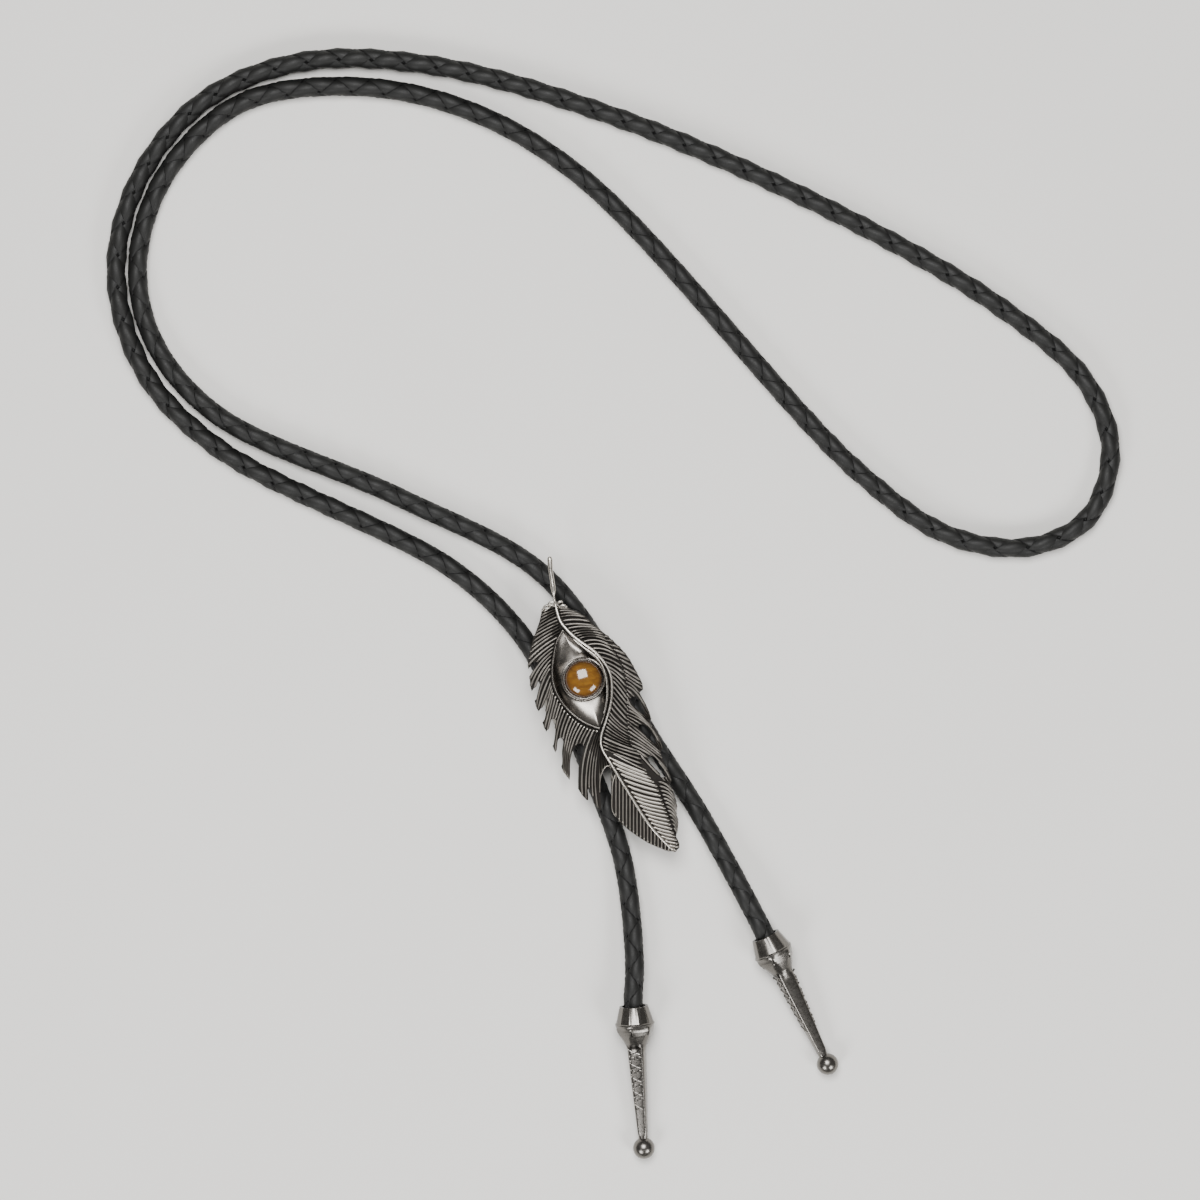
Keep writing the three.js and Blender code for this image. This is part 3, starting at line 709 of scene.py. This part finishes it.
class BOLO_OT_stage(bpy.types.Operator):
    """Makes the pale floor, the soft lights and the camera straight above the tie"""

    bl_idname = "bolo.stage"
    bl_label = "Stage"

    def execute(self, context):
        settings = context.scene.bolo_tie.stage
        half = FLOOR_SIDE / 2
        mesh = bpy.data.meshes.new("floor")
        corners = [(-half, -half, 0), (half, -half, 0), (half, half, 0), (-half, half, 0)]
        mesh.from_pydata(corners, [], [(0, 1, 2, 3)])
        mesh.materials.append(matte_board(settings))
        floor = bpy.data.objects.new("floor", mesh)
        context.scene.collection.objects.link(floor)
        floor.location.z = -0.0001

        world = bpy.data.worlds.new("soft_room")
        world.use_nodes = True
        sky = world.node_tree.nodes["Background"]
        sky.inputs["Color"].default_value = linear(SKY_COLOUR)
        sky.inputs["Strength"].default_value = SKY_STRENGTH
        context.scene.world = world

        soft_light("key_softbox", (-0.06, 0.25, 0.80), 0.42, settings.key_power)
        for name, x, y in (("fill_left", -0.305, -0.49), ("fill_right", 0.41, -0.41)):
            soft_light(name, (x, y, 0.45), 0.26, settings.fill_power)

        camera = bpy.data.cameras.new("camera")
        camera.sensor_width = 36.0
        camera.lens = camera.sensor_width * settings.camera_height / settings.view_width
        holder = bpy.data.objects.new("camera", camera)
        holder.location = (VIEW_MIDDLE.x, VIEW_MIDDLE.y, settings.camera_height)
        context.scene.collection.objects.link(holder)
        context.scene.camera = holder
        return {"FINISHED"}


# ------------------------------------------------------------------ cord tips

# Distance from the mouth and radius, in millimetres, along the outside of a tip's body.
TIP_PROFILE = [
    (0.0, 3.05), (0.15, 3.12), (3.45, 4.08), (3.6, 4.18), (3.85, 4.2), (4.05, 4.1), (4.5, 3.98),
    (5.2, 3.78), (6.0, 3.45), (7.0, 2.95), (8.0, 2.4), (9.0, 2.0), (10.0, 1.8), (12.0, 1.72),
    (15.0, 1.58), (20.0, 1.34), (25.0, 1.1), (27.6, 0.98), (28.2, 0.98),
]
TIP_BALL = {"at": 30.4, "radius": 2.3}
ROUND_SAMPLES = 96


# Where the collar, the cup and the stem of a tip lie, in millimetres from its mouth.
TIP_COLLAR, TIP_CUP, TIP_STEM = (0.1, 3.5), (4.2, 10.0), (10.0, 28.2)


def tip_body(shell, settings, turn):
    """Adds the body and ball of a tip; the turn is where the flats of its collar stand."""
    ball_at, ball_radius = TIP_BALL["at"], TIP_BALL["radius"]
    along = np.array([row[0] for row in TIP_PROFILE])
    radii = np.array([row[1] for row in TIP_PROFILE])
    body = np.unique(np.concatenate([
        along, np.linspace(*TIP_CUP, 40), np.linspace(*TIP_STEM, 40)]))
    around = np.arange(ROUND_SAMPLES) * 2 * np.pi / ROUND_SAMPLES
    x = body[:, None]
    radius = np.broadcast_to(np.interp(body, along, radii)[:, None], (len(body), ROUND_SAMPLES))

    sector = 2 * np.pi / settings.facets
    within = np.mod(around - turn + sector / 2, sector) - sector / 2
    flat = math.cos(sector / 2) / np.cos(within)
    in_collar = ((x > TIP_COLLAR[0]) & (x < TIP_COLLAR[1])).astype(float)
    facet_edge = smoothstep(0.84, 1.0, np.abs(within) / (sector / 2))[None, :] * in_collar
    radius = radius * (1 - in_collar + in_collar * flat[None, :]) - 0.14 * facet_edge

    petal = np.abs(np.mod(around * settings.petals / (2 * np.pi), 1.0) - 0.5) * 2
    petal_end = (8.7 - 3.7 * petal ** 1.3)[None, :]
    on_petal = smoothstep(0.25, -0.25, x - petal_end) * smoothstep(4.0, 4.8, x)
    seam = smoothstep(0.86, 1.0, petal)[None, :] * smoothstep(4.3, 4.9, x) * (x < 6.0)
    leaf = 2 * np.pi / settings.petals
    off_middle = np.mod(around, leaf) - leaf / 2
    leaf_flat = 1 + 0.8 * (math.cos(leaf / 2) / np.cos(off_middle) - 1)
    radius = radius * (1 + (leaf_flat[None, :] - 1) * on_petal) + 0.26 * on_petal - 0.1 * seam

    square = (np.abs(np.cos(around)) ** 5 + np.abs(np.sin(around)) ** 5) ** (-1 / 5)
    squared = smoothstep(8.0, 10.5, x) * smoothstep(28.2, 27.0, x)
    radius = radius * (1 + (square[None, :] - 1) * squared * 0.9)

    on_panel = (np.abs(np.mod(around + np.pi, 2 * np.pi) - np.pi) < 0.8)[None, :]
    panel = on_panel * smoothstep(7.8, 8.6, x) * smoothstep(22.6, 21.8, x)
    relief = 0.8 - 0.7 * facet_edge - 0.6 * seam - 0.35 * panel
    relief = relief - 0.35 * (1 - on_petal) * smoothstep(4.8, 5.4, x) * smoothstep(9.4, 8.4, x)

    polar = np.linspace(math.asin(min(1, 0.98 / ball_radius)), np.pi, 26)
    ball_x = ball_at - ball_radius * np.cos(polar)
    ball_r = np.maximum(ball_radius * np.sin(polar), 0.01)
    socket = [(2.6, 2.42), (0.0, 2.5), (0.0, 2.95)]
    all_x = np.concatenate([[s[0] for s in socket], body, ball_x])
    ones = np.ones(ROUND_SAMPLES)
    all_r = np.vstack([[s[1] * ones for s in socket], radius, ball_r[:, None] * ones])
    all_relief = np.vstack([np.full((3, ROUND_SAMPLES), 0.1), np.clip(relief, 0, 1),
                            np.full((len(ball_x), ROUND_SAMPLES), 0.75)])
    rings = np.stack([
        np.broadcast_to(all_x[:, None], all_r.shape), all_r * np.sin(around), all_r * np.cos(around)
    ], -1)
    shell.grid(rings, all_relief)


def stem_face(x):
    """Half-width and height of the stem's flat face above its axis."""
    half = np.interp(x, [r[0] for r in TIP_PROFILE], [r[1] for r in TIP_PROFILE])
    return half * 0.92, half


def face_rod(shell, plan, radius, side):
    """A raised rod on one of the stem's flat faces, through points along and across it."""
    line, _ = evenly(route_through([(x, y, 0.0) for x, y in plan], 6), 5 * len(plan))
    rows = []
    for x, y, _ in line:
        half, top = stem_face(x)
        drop = 0.18 * (abs(y) / half) ** 3
        rows.append((x, y, top - drop + radius * 0.35, radius))
    rows[0], rows[-1] = rows[0][:3] + (radius * 0.45,), rows[-1][:3] + (radius * 0.45,)
    shell.tube([(x, side * y, side * z, r) for x, y, z, r in rows], 8, 0.95)


def tip_ornament(shell, settings):
    """Crossed bars, paired scrolls and dots in turn along two faces of the stem: a stock border."""
    start, end = 8.9, 22.2
    cell = (end - start) / settings.ornament_cells
    for side in (1, -1):
        for i in range(settings.ornament_cells):
            at = start + i * cell
            half, _ = stem_face(at + cell / 2)
            rod = 0.13 - 0.003 * i
            for hand in (-1, 1):
                face_rod(shell, [(at + 0.02 * cell, hand * half * 0.86),
                                 (at + 0.12 * cell, hand * half * 0.74)], rod * 1.7, side)
                if i % 2 == 0:
                    face_rod(shell, [(at + 0.1 * cell, -hand * half * 0.8),
                                     (at + 0.5 * cell, -hand * half * 0.1),
                                     (at + 0.9 * cell, hand * half * 0.75)], rod, side)
                    continue
                turn = [(at + cell * (0.5 + 0.36 * math.cos(a)),
                         hand * half * (0.48 + 0.34 * math.sin(a))) for a in np.linspace(0.3, 4.6, 8)]
                face_rod(shell, turn + [(at + cell * 0.5, hand * half * 0.4)], rod, side)


class BOLO_OT_tips(bpy.types.Operator):
    """Makes the two cord tips: faceted collar, petalled cup, ornamented stem and ball end"""

    bl_idname = "bolo.tips"
    bl_label = "Cord tips"

    def execute(self, context):
        settings = context.scene.bolo_tie.tips
        feather = context.scene.bolo_tie.feather
        material = polished_casting("polished_tip_casting", feather.recess, settings.metal)
        for place in TIP_PLACES:
            shell = Shell()
            tip_body(shell, settings, math.radians(place["roll"] + place["flat"]))
            tip_ornament(shell, settings)
            (mx, my), (bx, by) = place["mouth"], place["ball"]
            put = (
                Matrix.Translation((mx * MM, my * MM, MOUTH))
                @ Matrix.Rotation(math.atan2(by - my, bx - mx), 4, "Z")
                @ Matrix.Rotation(TIP_PITCH, 4, "Y")
                @ Matrix.Rotation(math.radians(place["roll"]), 4, "X")
            )
            piece = shell.build("cord_" + place["node"], material, MM, sharp=24, placed=put)
            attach(piece, BODY)
            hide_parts(place["node"])
        return {"FINISHED"}


# ------------------------------------------------------------------ braided cord


def braided_cord(settings):
    """Four flat strands in a round braid, two turning each way, over a thin core."""
    pitch, thick = settings.pitch, settings.strand_thickness
    swing = 0.24 * MM
    middle = settings.diameter / 2 - swing - thick / 2
    line = route_through(CORD_ROUTE, 40)
    line[:, 2] = np.maximum(line[:, 2], settings.diameter / 2)
    line, total = evenly(line, 4001)
    side, up = side_and_up(line)
    stations = np.linspace(0, total, len(line))
    roll = np.interp(stations / total, [r[0] for r in BRAID_ROLL], [r[1] for r in BRAID_ROLL])
    roll = roll * np.pi / 4

    section = np.array([
        (-1.0, -0.4), (-0.95, 0.35), (-0.8, 0.88), (0.0, 1.0), (0.8, 0.88), (0.95, 0.35),
        (1.0, -0.4), (0.0, -1.0),
    ])
    half_width = 0.485 * np.pi
    across, height = section[:, 0] * half_width, section[:, 1]
    steps = int(total / pitch * 40)
    turns = np.linspace(-np.pi, 4 * np.pi * total / pitch + np.pi, steps)
    shell = Shell()
    for hand in (1, -1):
        for start in (0.0, np.pi):
            lane = start + across[None, :]
            run = turns[:, None]
            # Along and across the strand; going on along it climbs the cord and goes round it.
            first, second = (run, lane * np.ones_like(run)) if hand == 1 else (lane, -run)
            theta = (first + second) / 2
            climb = np.clip(pitch * (first - second) / (4 * np.pi), 0, total)
            wave = np.tanh(2.2 * np.cos(first) * np.cos(second)) / math.tanh(2.2)
            radius = middle + hand * swing * wave + height[None, :] * thick / 2
            at = [np.interp(climb, stations, v) for v in (*line.T, *side.T, *up.T, roll)]
            centre, sideways, upward = (np.stack(at[k : k + 3], -1) for k in (0, 3, 6))
            angle = theta + at[9]
            out = np.cos(angle)[..., None] * upward + np.sin(angle)[..., None] * sideways
            # Painted shade: each strand is darker towards its edges and where it passes under the
            # crossing strand.
            crown = smoothstep(0.3, 0.98, height)[None, :] * (0.7 + 0.3 * hand * wave)
            shell.grid(centre + radius[..., None] * out, np.clip(crown, 0, 1))
    thin = np.linspace(0, len(line) - 1, 500).astype(int)
    angles = np.arange(8) * np.pi / 4
    core = 1.5 * MM
    # The core takes the grooves' painted shade colour.
    shell.grid(rings_round(line[thin], up[thin], side[thin], angles, core, core), 0.0)
    return shell, line[::8], total


class BOLO_OT_cord(bpy.types.Operator):
    """Makes the braided leather cord along its route, from one tip to the other"""

    bl_idname = "bolo.cord"
    bl_label = "Braided cord"

    def execute(self, context):
        settings = context.scene.bolo_tie.cord
        shell, path, total = braided_cord(settings)
        cord = shell.build("braided_cord", lacquered_leather(settings))
        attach(cord, BODY)
        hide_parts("cord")
        return {"FINISHED"}


# ------------------------------------------------------------------ cast feather

# Relief of the low places between the barbs.
BLACKENED = 0.1
# Barbs of each part: heights of their lines at root and tip, half their height, how much of their
# share of the width they fill, how far their crests are rubbed bright, and radii of end beads.
VANE_LOOK = {"root": 8.2, "tip": 7.95, "tall": 0.3, "fill": 0.76, "tone": 0.88}
LEFT_LOOK = {**VANE_LOOK, "root": 8.35}
RIGHT_OUTER_LOOK = {**VANE_LOOK, "root_bead": 0.16}
RIGHT_INNER_LOOK = {**VANE_LOOK, "root": 8.5, "tip": 8.3}
OVERLAY_LOOK = {"root": 9.0, "tip": 8.95, "tall": 0.3, "fill": 0.92, "tone": 1.24}
STRIP_LOOK = {"root": 8.3, "tip": 8.1, "tall": 0.34, "fill": 0.76, "tone": 0.9, "tip_bead": 0.17}
# Distances between barbs of the laid-over feather's right side, left side and the strip beside it.
OVERLAY_SPACING, OVERLAY_LEFT_SPACING, STRIP_SPACING = 0.76, 0.74, 0.72
SHAFT_STEPS = 6


def along_barb(row, t):
    """Plan points of one guide barb at fractions t from its root: a bend through three points."""
    root, mid, tip = np.array(row, float)
    bend = 2 * mid - (root + tip) / 2
    t = np.asarray(t, float)[:, None]
    return (1 - t) ** 2 * root + 2 * t * (1 - t) * bend + t ** 2 * tip


def inside(points, loop):
    """For each plan point, whether it lies within a closed outline."""
    x, y = points[:, :1], points[:, 1:2]
    a, b = loop, np.roll(loop, -1, axis=0)
    crosses = (a[:, 1] > y) != (b[:, 1] > y)
    rise = np.where(b[:, 1] == a[:, 1], 1e-12, b[:, 1] - a[:, 1])
    at = a[:, 0] + (y - a[:, 1]) / rise * (b[:, 0] - a[:, 0])
    return np.sum(crosses & (x < at), axis=1) % 2 == 1


def gap_outlines():
    """The gaps as smooth closed outlines."""
    outlines = []
    for gap in VANE_GAPS:
        around = [(x, y, 0.0) for x, y in [gap[-1], *gap, gap[0], gap[1]]]
        outlines.append(route_through(around, 5)[5:-6, :2])
    return outlines


def cut_plate(shell, outline, gaps, bottom, top):
    """Adds a flat plate with a plan outline, cut through by every gap."""
    corners, edges = [], []
    for loop in (outline, *gaps):
        first, count = len(corners), len(loop)
        corners += [Vector(point) for point in loop]
        edges += [(first + i, first + (i + 1) % count) for i in range(count)]
    plan, _, triangles, *_ = delaunay_2d_cdt(corners, edges, [], 0, 1e-6)
    plan = np.array([tuple(point) for point in plan])
    middles = np.array([plan[list(face)].mean(axis=0) for face in triangles])
    keep = inside(middles, outline)
    for gap in gaps:
        keep &= ~inside(middles, gap)
    faces = [tuple(face) for face, kept in zip(triangles, keep) if kept]
    start, count = len(shell.points), len(plan)
    for z in (bottom, top):
        shell.points += [(x, y, z) for x, y in plan.tolist()]
        shell.relief += [BLACKENED] * count
    sides = {(face[i], face[(i + 1) % 3]) for face in faces for i in range(3)}
    for face in faces:
        shell.faces.append(tuple(start + i for i in reversed(face)))
        shell.faces.append(tuple(start + count + i for i in face))
    for a, b in sides:
        if (b, a) not in sides:
            shell.faces.append((start + a, start + b, start + count + b, start + count + a))


def barb_lines(rows, spacing, samples):
    """Plan lines of all barbs side by side, at about the given spacing between the guides."""
    stations = np.linspace(0, 1, samples)
    lines = []
    for row, following in zip(rows, rows[1:]):
        a, b = along_barb(row, stations), along_barb(following, stations)
        ahead = np.gradient(a + b, axis=0)
        ahead /= np.linalg.norm(ahead, axis=1)[:, None]
        across = b - a
        distance = np.abs(ahead[:, 0] * across[:, 1] - ahead[:, 1] * across[:, 0])
        count = max(1, round(0.92 * distance.max() / spacing))
        lines += [a + (b - a) * j / count for j in range(count)]
    lines.append(along_barb(rows[-1], stations))
    return lines


def free_runs(line, outline, gaps):
    """The stretches of a line that lie on the plate, as slices of its samples."""
    free = inside(line, outline)
    for gap in gaps:
        free &= ~inside(line, gap)
    runs, start = [], None
    for i, on in enumerate([*free, False]):
        if on and start is None:
            start = i
        if not on and start is not None:
            runs.append(slice(start, i))
            start = None
    return runs


def add_barbs(shell, rows, spacing, look, rng, outline, gaps=()):
    """Adds a ridge along each barb; look gives heights, proportions and beads at its ends."""
    samples, sides = 90, 8
    lines = barb_lines(rows, spacing, samples)
    angles = np.arange(sides) * 2 * np.pi / sides + np.pi / 2
    for i, line in enumerate(lines):
        near = [np.linalg.norm(line - lines[k], axis=1) for k in (i - 1, i + 1) if 0 <= k < len(lines)]
        room = np.clip(np.min(near, axis=0), 0.25, spacing * 1.15)
        tone = look["tone"] * (0.86 + 0.14 * rng.random())
        lift = 0.06 * (rng.random() - 0.5)
        for run in free_runs(line, outline, gaps):
            plan = line[run]
            reach = np.concatenate([[0], np.cumsum(np.linalg.norm(np.diff(plan, axis=0), axis=1))])
            if reach[-1] < 0.7:
                continue
            count = max(5, min(30, int(reach[-1] / 0.35)))
            along = np.linspace(0, reach[-1], count)
            share = np.linspace(run.start, run.stop - 1, count) / (samples - 1)
            xy = np.stack([np.interp(along, reach, plan[:, k]) for k in (0, 1)], 1)
            width = np.interp(along, reach, room[run]) * 0.5 * look["fill"]
            end = np.minimum(along, reach[-1] - along)
            taper = 0.35 + 0.65 * smoothstep(0.0, 0.3, end)
            z = look["root"] + (look["tip"] - look["root"]) * share + lift
            flat = np.column_stack([xy, z])
            side, up = side_and_up(flat)
            rings = rings_round(flat, side, up, angles, width * taper, look["tall"] * taper)
            shell.grid(rings, (0.5 + 0.5 * np.sin(angles))[None, :] * tone)
            for beads, at, first in (("root_bead", 0, run.start == 0), ("tip_bead", -1, True)):
                if look.get(beads) and first:
                    add_bead(shell, flat[at], flat[at] - flat[at - 1 if at else 1], look[beads])


def add_bead(shell, place, direction, radius):
    """Adds a small bright drop at the end of a barb."""
    ahead = np.array([*direction[:2], 0.0])
    ahead /= np.linalg.norm(ahead)
    rows = [(*(place + ahead * radius * step + np.array([0, 0, 0.12])), radius * wide)
            for step, wide in ((-1.5, 0.3), (-1.0, 0.8), (-0.2, 1.0), (0.5, 0.85), (0.9, 0.3))]
    shell.tube(rows, 8, 1.0)


def eye_bowl(shell):
    """The almond-shaped bowl round the stone: a rim, and a hollow that falls to the bezel."""
    samples = 120
    left = route_through([(x, y, 0.0) for x, y in EYE_LEFT], 12)
    right = route_through([(x, y, 0.0) for x, y in EYE_RIGHT], 12)
    loop, _ = evenly(np.vstack([left[:-1], right]), samples + 1)
    loop = loop[:-1, :2]
    centre = np.array([BEZEL["x"], BEZEL["y"]])
    spoke = loop - centre
    reach = np.linalg.norm(spoke, axis=1)
    unit = spoke / reach[:, None]
    inner = BEZEL["inner"] - 0.2
    # Share of the way from the bezel to the rim's inside, height as a share of the rim's.
    hollow = [(0.0, 0.0), (0.15, 0.01), (0.3, 0.05), (0.45, 0.12), (0.6, 0.23), (0.72, 0.36),
              (0.82, 0.5), (0.9, 0.64), (0.96, 0.76), (1.0, 0.86)]
    rim_width = 0.75
    rings, relief = [], []
    rings.append(np.column_stack([np.tile(centre, (samples, 1)) + unit * 0.5,
                                  np.full(samples, BOWL_FLOOR - 0.1)]))
    relief.append(0.2)
    for share, lift in hollow:
        r = inner + (reach - rim_width - inner) * share
        z = BOWL_FLOOR + (EYE_CREST - BOWL_FLOOR) * lift
        rings.append(np.column_stack([centre + unit * r[:, None], np.full(samples, z)]))
        # Painted reflection: the hollow is lighter towards its top and bottom and darker on its sides.
        relief.append(0.24 + 0.24 * unit[:, 1] ** 4)
    # Distance in from the outer edge, drop below the crest, relief.
    rim = [(0.55, 0.05, 0.2), (0.42, 0.0, 0.25), (0.26, 0.02, 0.25), (0.12, 0.14, 0.2),
           (0.0, 0.4, 0.15), (-0.06, 1.0, 0.1), (-0.06, EYE_CREST - CAST_BACK - 0.05, 0.1)]
    for inward, drop, value in rim:
        r = reach - inward
        rings.append(np.column_stack([centre + unit * r[:, None], np.full(samples, EYE_CREST - drop)]))
        relief.append(value)
    rings.append(np.column_stack([np.tile(centre, (samples, 1)) + unit * 0.5,
                                  np.full(samples, CAST_BACK + 0.05)]))
    relief.append(0.1)
    values = np.array([np.broadcast_to(value, samples) for value in relief])
    shell.grid(np.array(rings)[::-1], values[::-1])


def lathe(shell, profile, x, y, samples=96):
    """Adds a round piece about a vertical axis from rows of radius, height and relief."""
    around = np.arange(samples) * 2 * np.pi / samples
    rows = np.array(profile, float)
    rings = np.stack([
        x + rows[:, :1] * np.cos(around), y + rows[:, :1] * np.sin(around),
        np.broadcast_to(rows[:, 1:2], (len(rows), samples))], -1)
    shell.grid(rings, rows[:, 2:])


def bezel_profile():
    """Radius, height and relief of the bezel: out along its foot, up, over its lip and down."""
    inner, outer, top, foot = BEZEL["inner"], BEZEL["outer"], BEZEL["top"], BOWL_FLOOR - 0.1
    return [
        (inner, foot, 0.1), (outer, foot, 0.1), (outer, BOWL_FLOOR + 0.1, 0.1),
        (outer, top - 0.2, 0.6), (outer - 0.06, top - 0.06, 0.9), (outer - 0.16, top, 1.0),
        (inner + 0.12, top - 0.05, 0.9), (inner + 0.02, top - 0.2, 0.4),
        (inner, BOWL_FLOOR, 0.1), (inner, foot, 0.1),
    ]


class BOLO_OT_feather(bpy.types.Operator):
    """Makes the cast feather: split vanes, the eye, the laid-over feather and the shafts"""

    bl_idname = "bolo.feather"
    bl_label = "Feather slide"

    def execute(self, context):
        settings = context.scene.bolo_tie.feather
        antiqued = antiqued_casting(settings)
        smooth = "polished_silver_casting"
        polished = polished_casting(smooth, settings.recess, settings.polished)
        bright = polished_casting(smooth, settings.recess, settings.shaft)
        spacing = settings.barb_spacing / MM
        rng = random.Random(7)

        vane = Shell()
        edge, gaps = np.array(VANE_EDGE), gap_outlines()
        cut_plate(vane, edge, gaps, CAST_BACK, PLATE_TOP)
        add_barbs(vane, LEFT_BARBS, spacing, LEFT_LOOK, rng, edge, gaps)
        add_barbs(vane, RIGHT_OUTER_BARBS, spacing, RIGHT_OUTER_LOOK, rng, edge, gaps)
        add_barbs(vane, RIGHT_INNER_BARBS, spacing, RIGHT_INNER_LOOK, rng, edge, gaps)
        vane.tube(route_through(SLOT_RIM, SHAFT_STEPS), 8)
        self.keep(vane, "feather_vane", antiqued, 50)

        overlay = Shell()
        overlay_edge = np.array(OVERLAY_RIGHT_EDGE + OVERLAY_LEFT_EDGE[1:])
        cut_plate(overlay, overlay_edge, [], OVERLAY_BACK, OVERLAY_TOP)
        add_barbs(overlay, OVERLAY_BARBS, OVERLAY_SPACING, OVERLAY_LOOK, rng, overlay_edge)
        add_barbs(overlay, STRIP_BARBS, STRIP_SPACING, STRIP_LOOK, rng, edge)
        self.add_left_of_overlay(overlay)
        for rows in OVERLAY_RIMS:
            overlay.tube(route_through(rows, SHAFT_STEPS), 8)
        self.keep(overlay, "feather_overlay", antiqued, 50)

        eye = Shell()
        eye_bowl(eye)
        lathe(eye, bezel_profile(), BEZEL["x"], BEZEL["y"])
        self.keep(eye, "feather_eye", polished, 40)

        shafts = Shell()
        for rows in [RACHIS, EYE_SECOND_LINE, QUILL, *TUFTS]:
            shafts.tube(route_through(rows, SHAFT_STEPS), 12)
        self.add_rim_beads(shafts, spacing)
        self.keep(shafts, "feather_shafts", bright, None)
        return {"FINISHED"}

    def keep(self, shell, name, material, sharp):
        piece = shell.build(name, material, MM, sharp=sharp)
        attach(piece, BODY)
        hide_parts("feather")

    def add_rim_beads(self, shell, spacing):
        """Bright drops where the left barbs start along the lower rim of the eye."""
        for line in barb_lines(LEFT_BARBS[8:14], spacing, 12):
            ahead = (line[1] - line[0]) / np.linalg.norm(line[1] - line[0])
            start = np.array([*(line[0] + 0.12 * ahead), EYE_CREST - 0.3])
            add_bead(shell, start, np.array([*-ahead, 0.0]), 0.23)

    def add_left_of_overlay(self, shell):
        """Straight barbs that drop from the lower shaft to the laid-over feather's left edge."""
        shaft = np.array([row[:2] for row in RACHIS[12:]])
        edge = np.array(OVERLAY_LEFT_EDGE[:9][::-1])
        samples, sides = 16, 8
        crest = (0.5 + 0.42 * np.sin(np.arange(sides) * 2 * np.pi / sides))[None, :]
        for x in np.arange(3.75, 15.4, OVERLAY_LEFT_SPACING):
            top = np.interp(x, shaft[:, 0], shaft[:, 1])
            low = np.interp(x, edge[:, 0], edge[:, 1])
            y = np.linspace(top, low, samples)
            z = np.linspace(9.15, 8.85, samples)
            rows = np.column_stack([np.full(samples, x), y, z, np.full(samples, 0.24)])
            rows[-1, 3] = 0.14
            shell.tube(rows, sides, crest)
            add_bead(shell, rows[-2, :3], np.array([0.0, -1.0, 0.0]), 0.22)


# ------------------------------------------------------------------ cabochon


class BOLO_OT_stone(bpy.types.Operator):
    """Makes the polished round cabochon that stands in the bezel"""

    bl_idname = "bolo.stone"
    bl_label = "Cabochon"

    def execute(self, context):
        settings = context.scene.bolo_tie.stone
        radius = settings.radius / MM
        low, girdle, crown = 8.5, 9.25, 11.2
        profile = [(0.02, low, 0.0), (radius - 0.25, low, 0.0), (radius, low + 0.2, 0.0)]
        # Relief falls towards the rim, where the stone gets its painted shade.
        for angle in np.linspace(0, np.pi / 2, 30):
            r = max(radius * math.cos(angle), 0.01)
            profile.append((r, girdle + (crown - girdle) * math.sin(angle), 1 - (r / radius) ** 3))
        shell = Shell()
        lathe(shell, profile, BEZEL["x"], BEZEL["y"], 128)
        stone = shell.build("cabochon", polished_quartz(settings), MM, sharp=60)
        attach(stone, BODY)
        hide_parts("stone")
        return {"FINISHED"}


# ------------------------------------------------------------------ back clasp


class BOLO_OT_clasp(bpy.types.Operator):
    """Makes the sleeve of bent strip behind the feather, with a channel for each strand"""

    bl_idname = "bolo.clasp"
    bl_label = "Back clasp"

    def execute(self, context):
        settings = context.scene.bolo_tie.clasp
        length, wall = settings.length / MM, settings.wall / MM
        half_gap, outer = CLASP["channel_spacing"] / 2, CLASP["outer"]
        soft, ahead = CLASP["softening"], CLASP["ahead"]
        end, inner, samples = length / 2, outer - wall, 48
        shell = Shell()
        around = np.arange(samples) * 2 * np.pi / samples
        ring = [(inner, -end + soft), (inner + soft, -end), (outer - soft, -end),
                (outer, -end + soft), (outer, end - soft), (outer - soft, end),
                (inner + soft, end), (inner, end - soft), (inner, -end + soft)]
        for side in (-1, 1):
            rings = np.array([
                np.column_stack([side * half_gap + r * np.cos(around), np.full(samples, y + ahead),
                                 outer + r * np.sin(around)]) for r, y in ring])
            shell.grid(rings, 0.6, capped=False)
        near, far = ahead - end, ahead + end
        for low, left, right in ((2 * outer - wall, -half_gap, half_gap),
                                 (0.0, -half_gap, CLASP_SEAM[0]), (0.0, CLASP_SEAM[1], half_gap)):
            plate = [(left, near), (right, near), (right, far), (left, far)]
            shell.prism(plate, low, low + wall, 0.6, soft)
        shell.prism(CLASP_PAD, 2 * outer - 0.1, CAST_BACK + 0.1, 0.4)
        put = Matrix.Rotation(CLASP_TURN, 4, "Z")
        clasp = shell.build("clasp_sleeve", rolled_strip(settings), MM, sharp=35, placed=put)
        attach(clasp, BODY)
        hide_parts("back_clasp")
        return {"FINISHED"}


# ------------------------------------------------------------------ panel and registration

STEPS = (BOLO_OT_stage, BOLO_OT_tips, BOLO_OT_cord, BOLO_OT_feather, BOLO_OT_stone, BOLO_OT_clasp)
GROUPS = (
    BoloStageSettings, BoloCordSettings, BoloFeatherSettings, BoloStoneSettings, BoloTipSettings,
    BoloClaspSettings, BoloTieSettings,
)


class BOLO_PT_panel(bpy.types.Panel):
    """Lists the pieces of the bolo tie with their sizes and colours"""

    bl_idname = "BOLO_PT_panel"
    bl_label = "Bolo Tie"
    bl_space_type = "VIEW_3D"
    bl_region_type = "UI"
    bl_category = "Bolo Tie"

    def draw(self, context):
        tie = context.scene.bolo_tie
        for step in STEPS:
            box = self.layout.box()
            box.operator(step.bl_idname, text=step.bl_label)
            group = getattr(tie, step.bl_idname.split(".")[1])
            for key in group.bl_rna.properties.keys():
                if key not in ("rna_type", "name"):
                    box.prop(group, key)


def register():
    for cls in (*GROUPS, *STEPS, BOLO_PT_panel):
        bpy.utils.register_class(cls)
    bpy.types.Scene.bolo_tie = bpy.props.PointerProperty(type=BoloTieSettings)


def unregister():
    del bpy.types.Scene.bolo_tie
    for cls in reversed((*GROUPS, *STEPS, BOLO_PT_panel)):
        bpy.utils.unregister_class(cls)


def main():
    register()
    for step in STEPS:
        group, name = step.bl_idname.split(".")
        getattr(getattr(bpy.ops, group), name)()


if __name__ == "__main__":
    main()
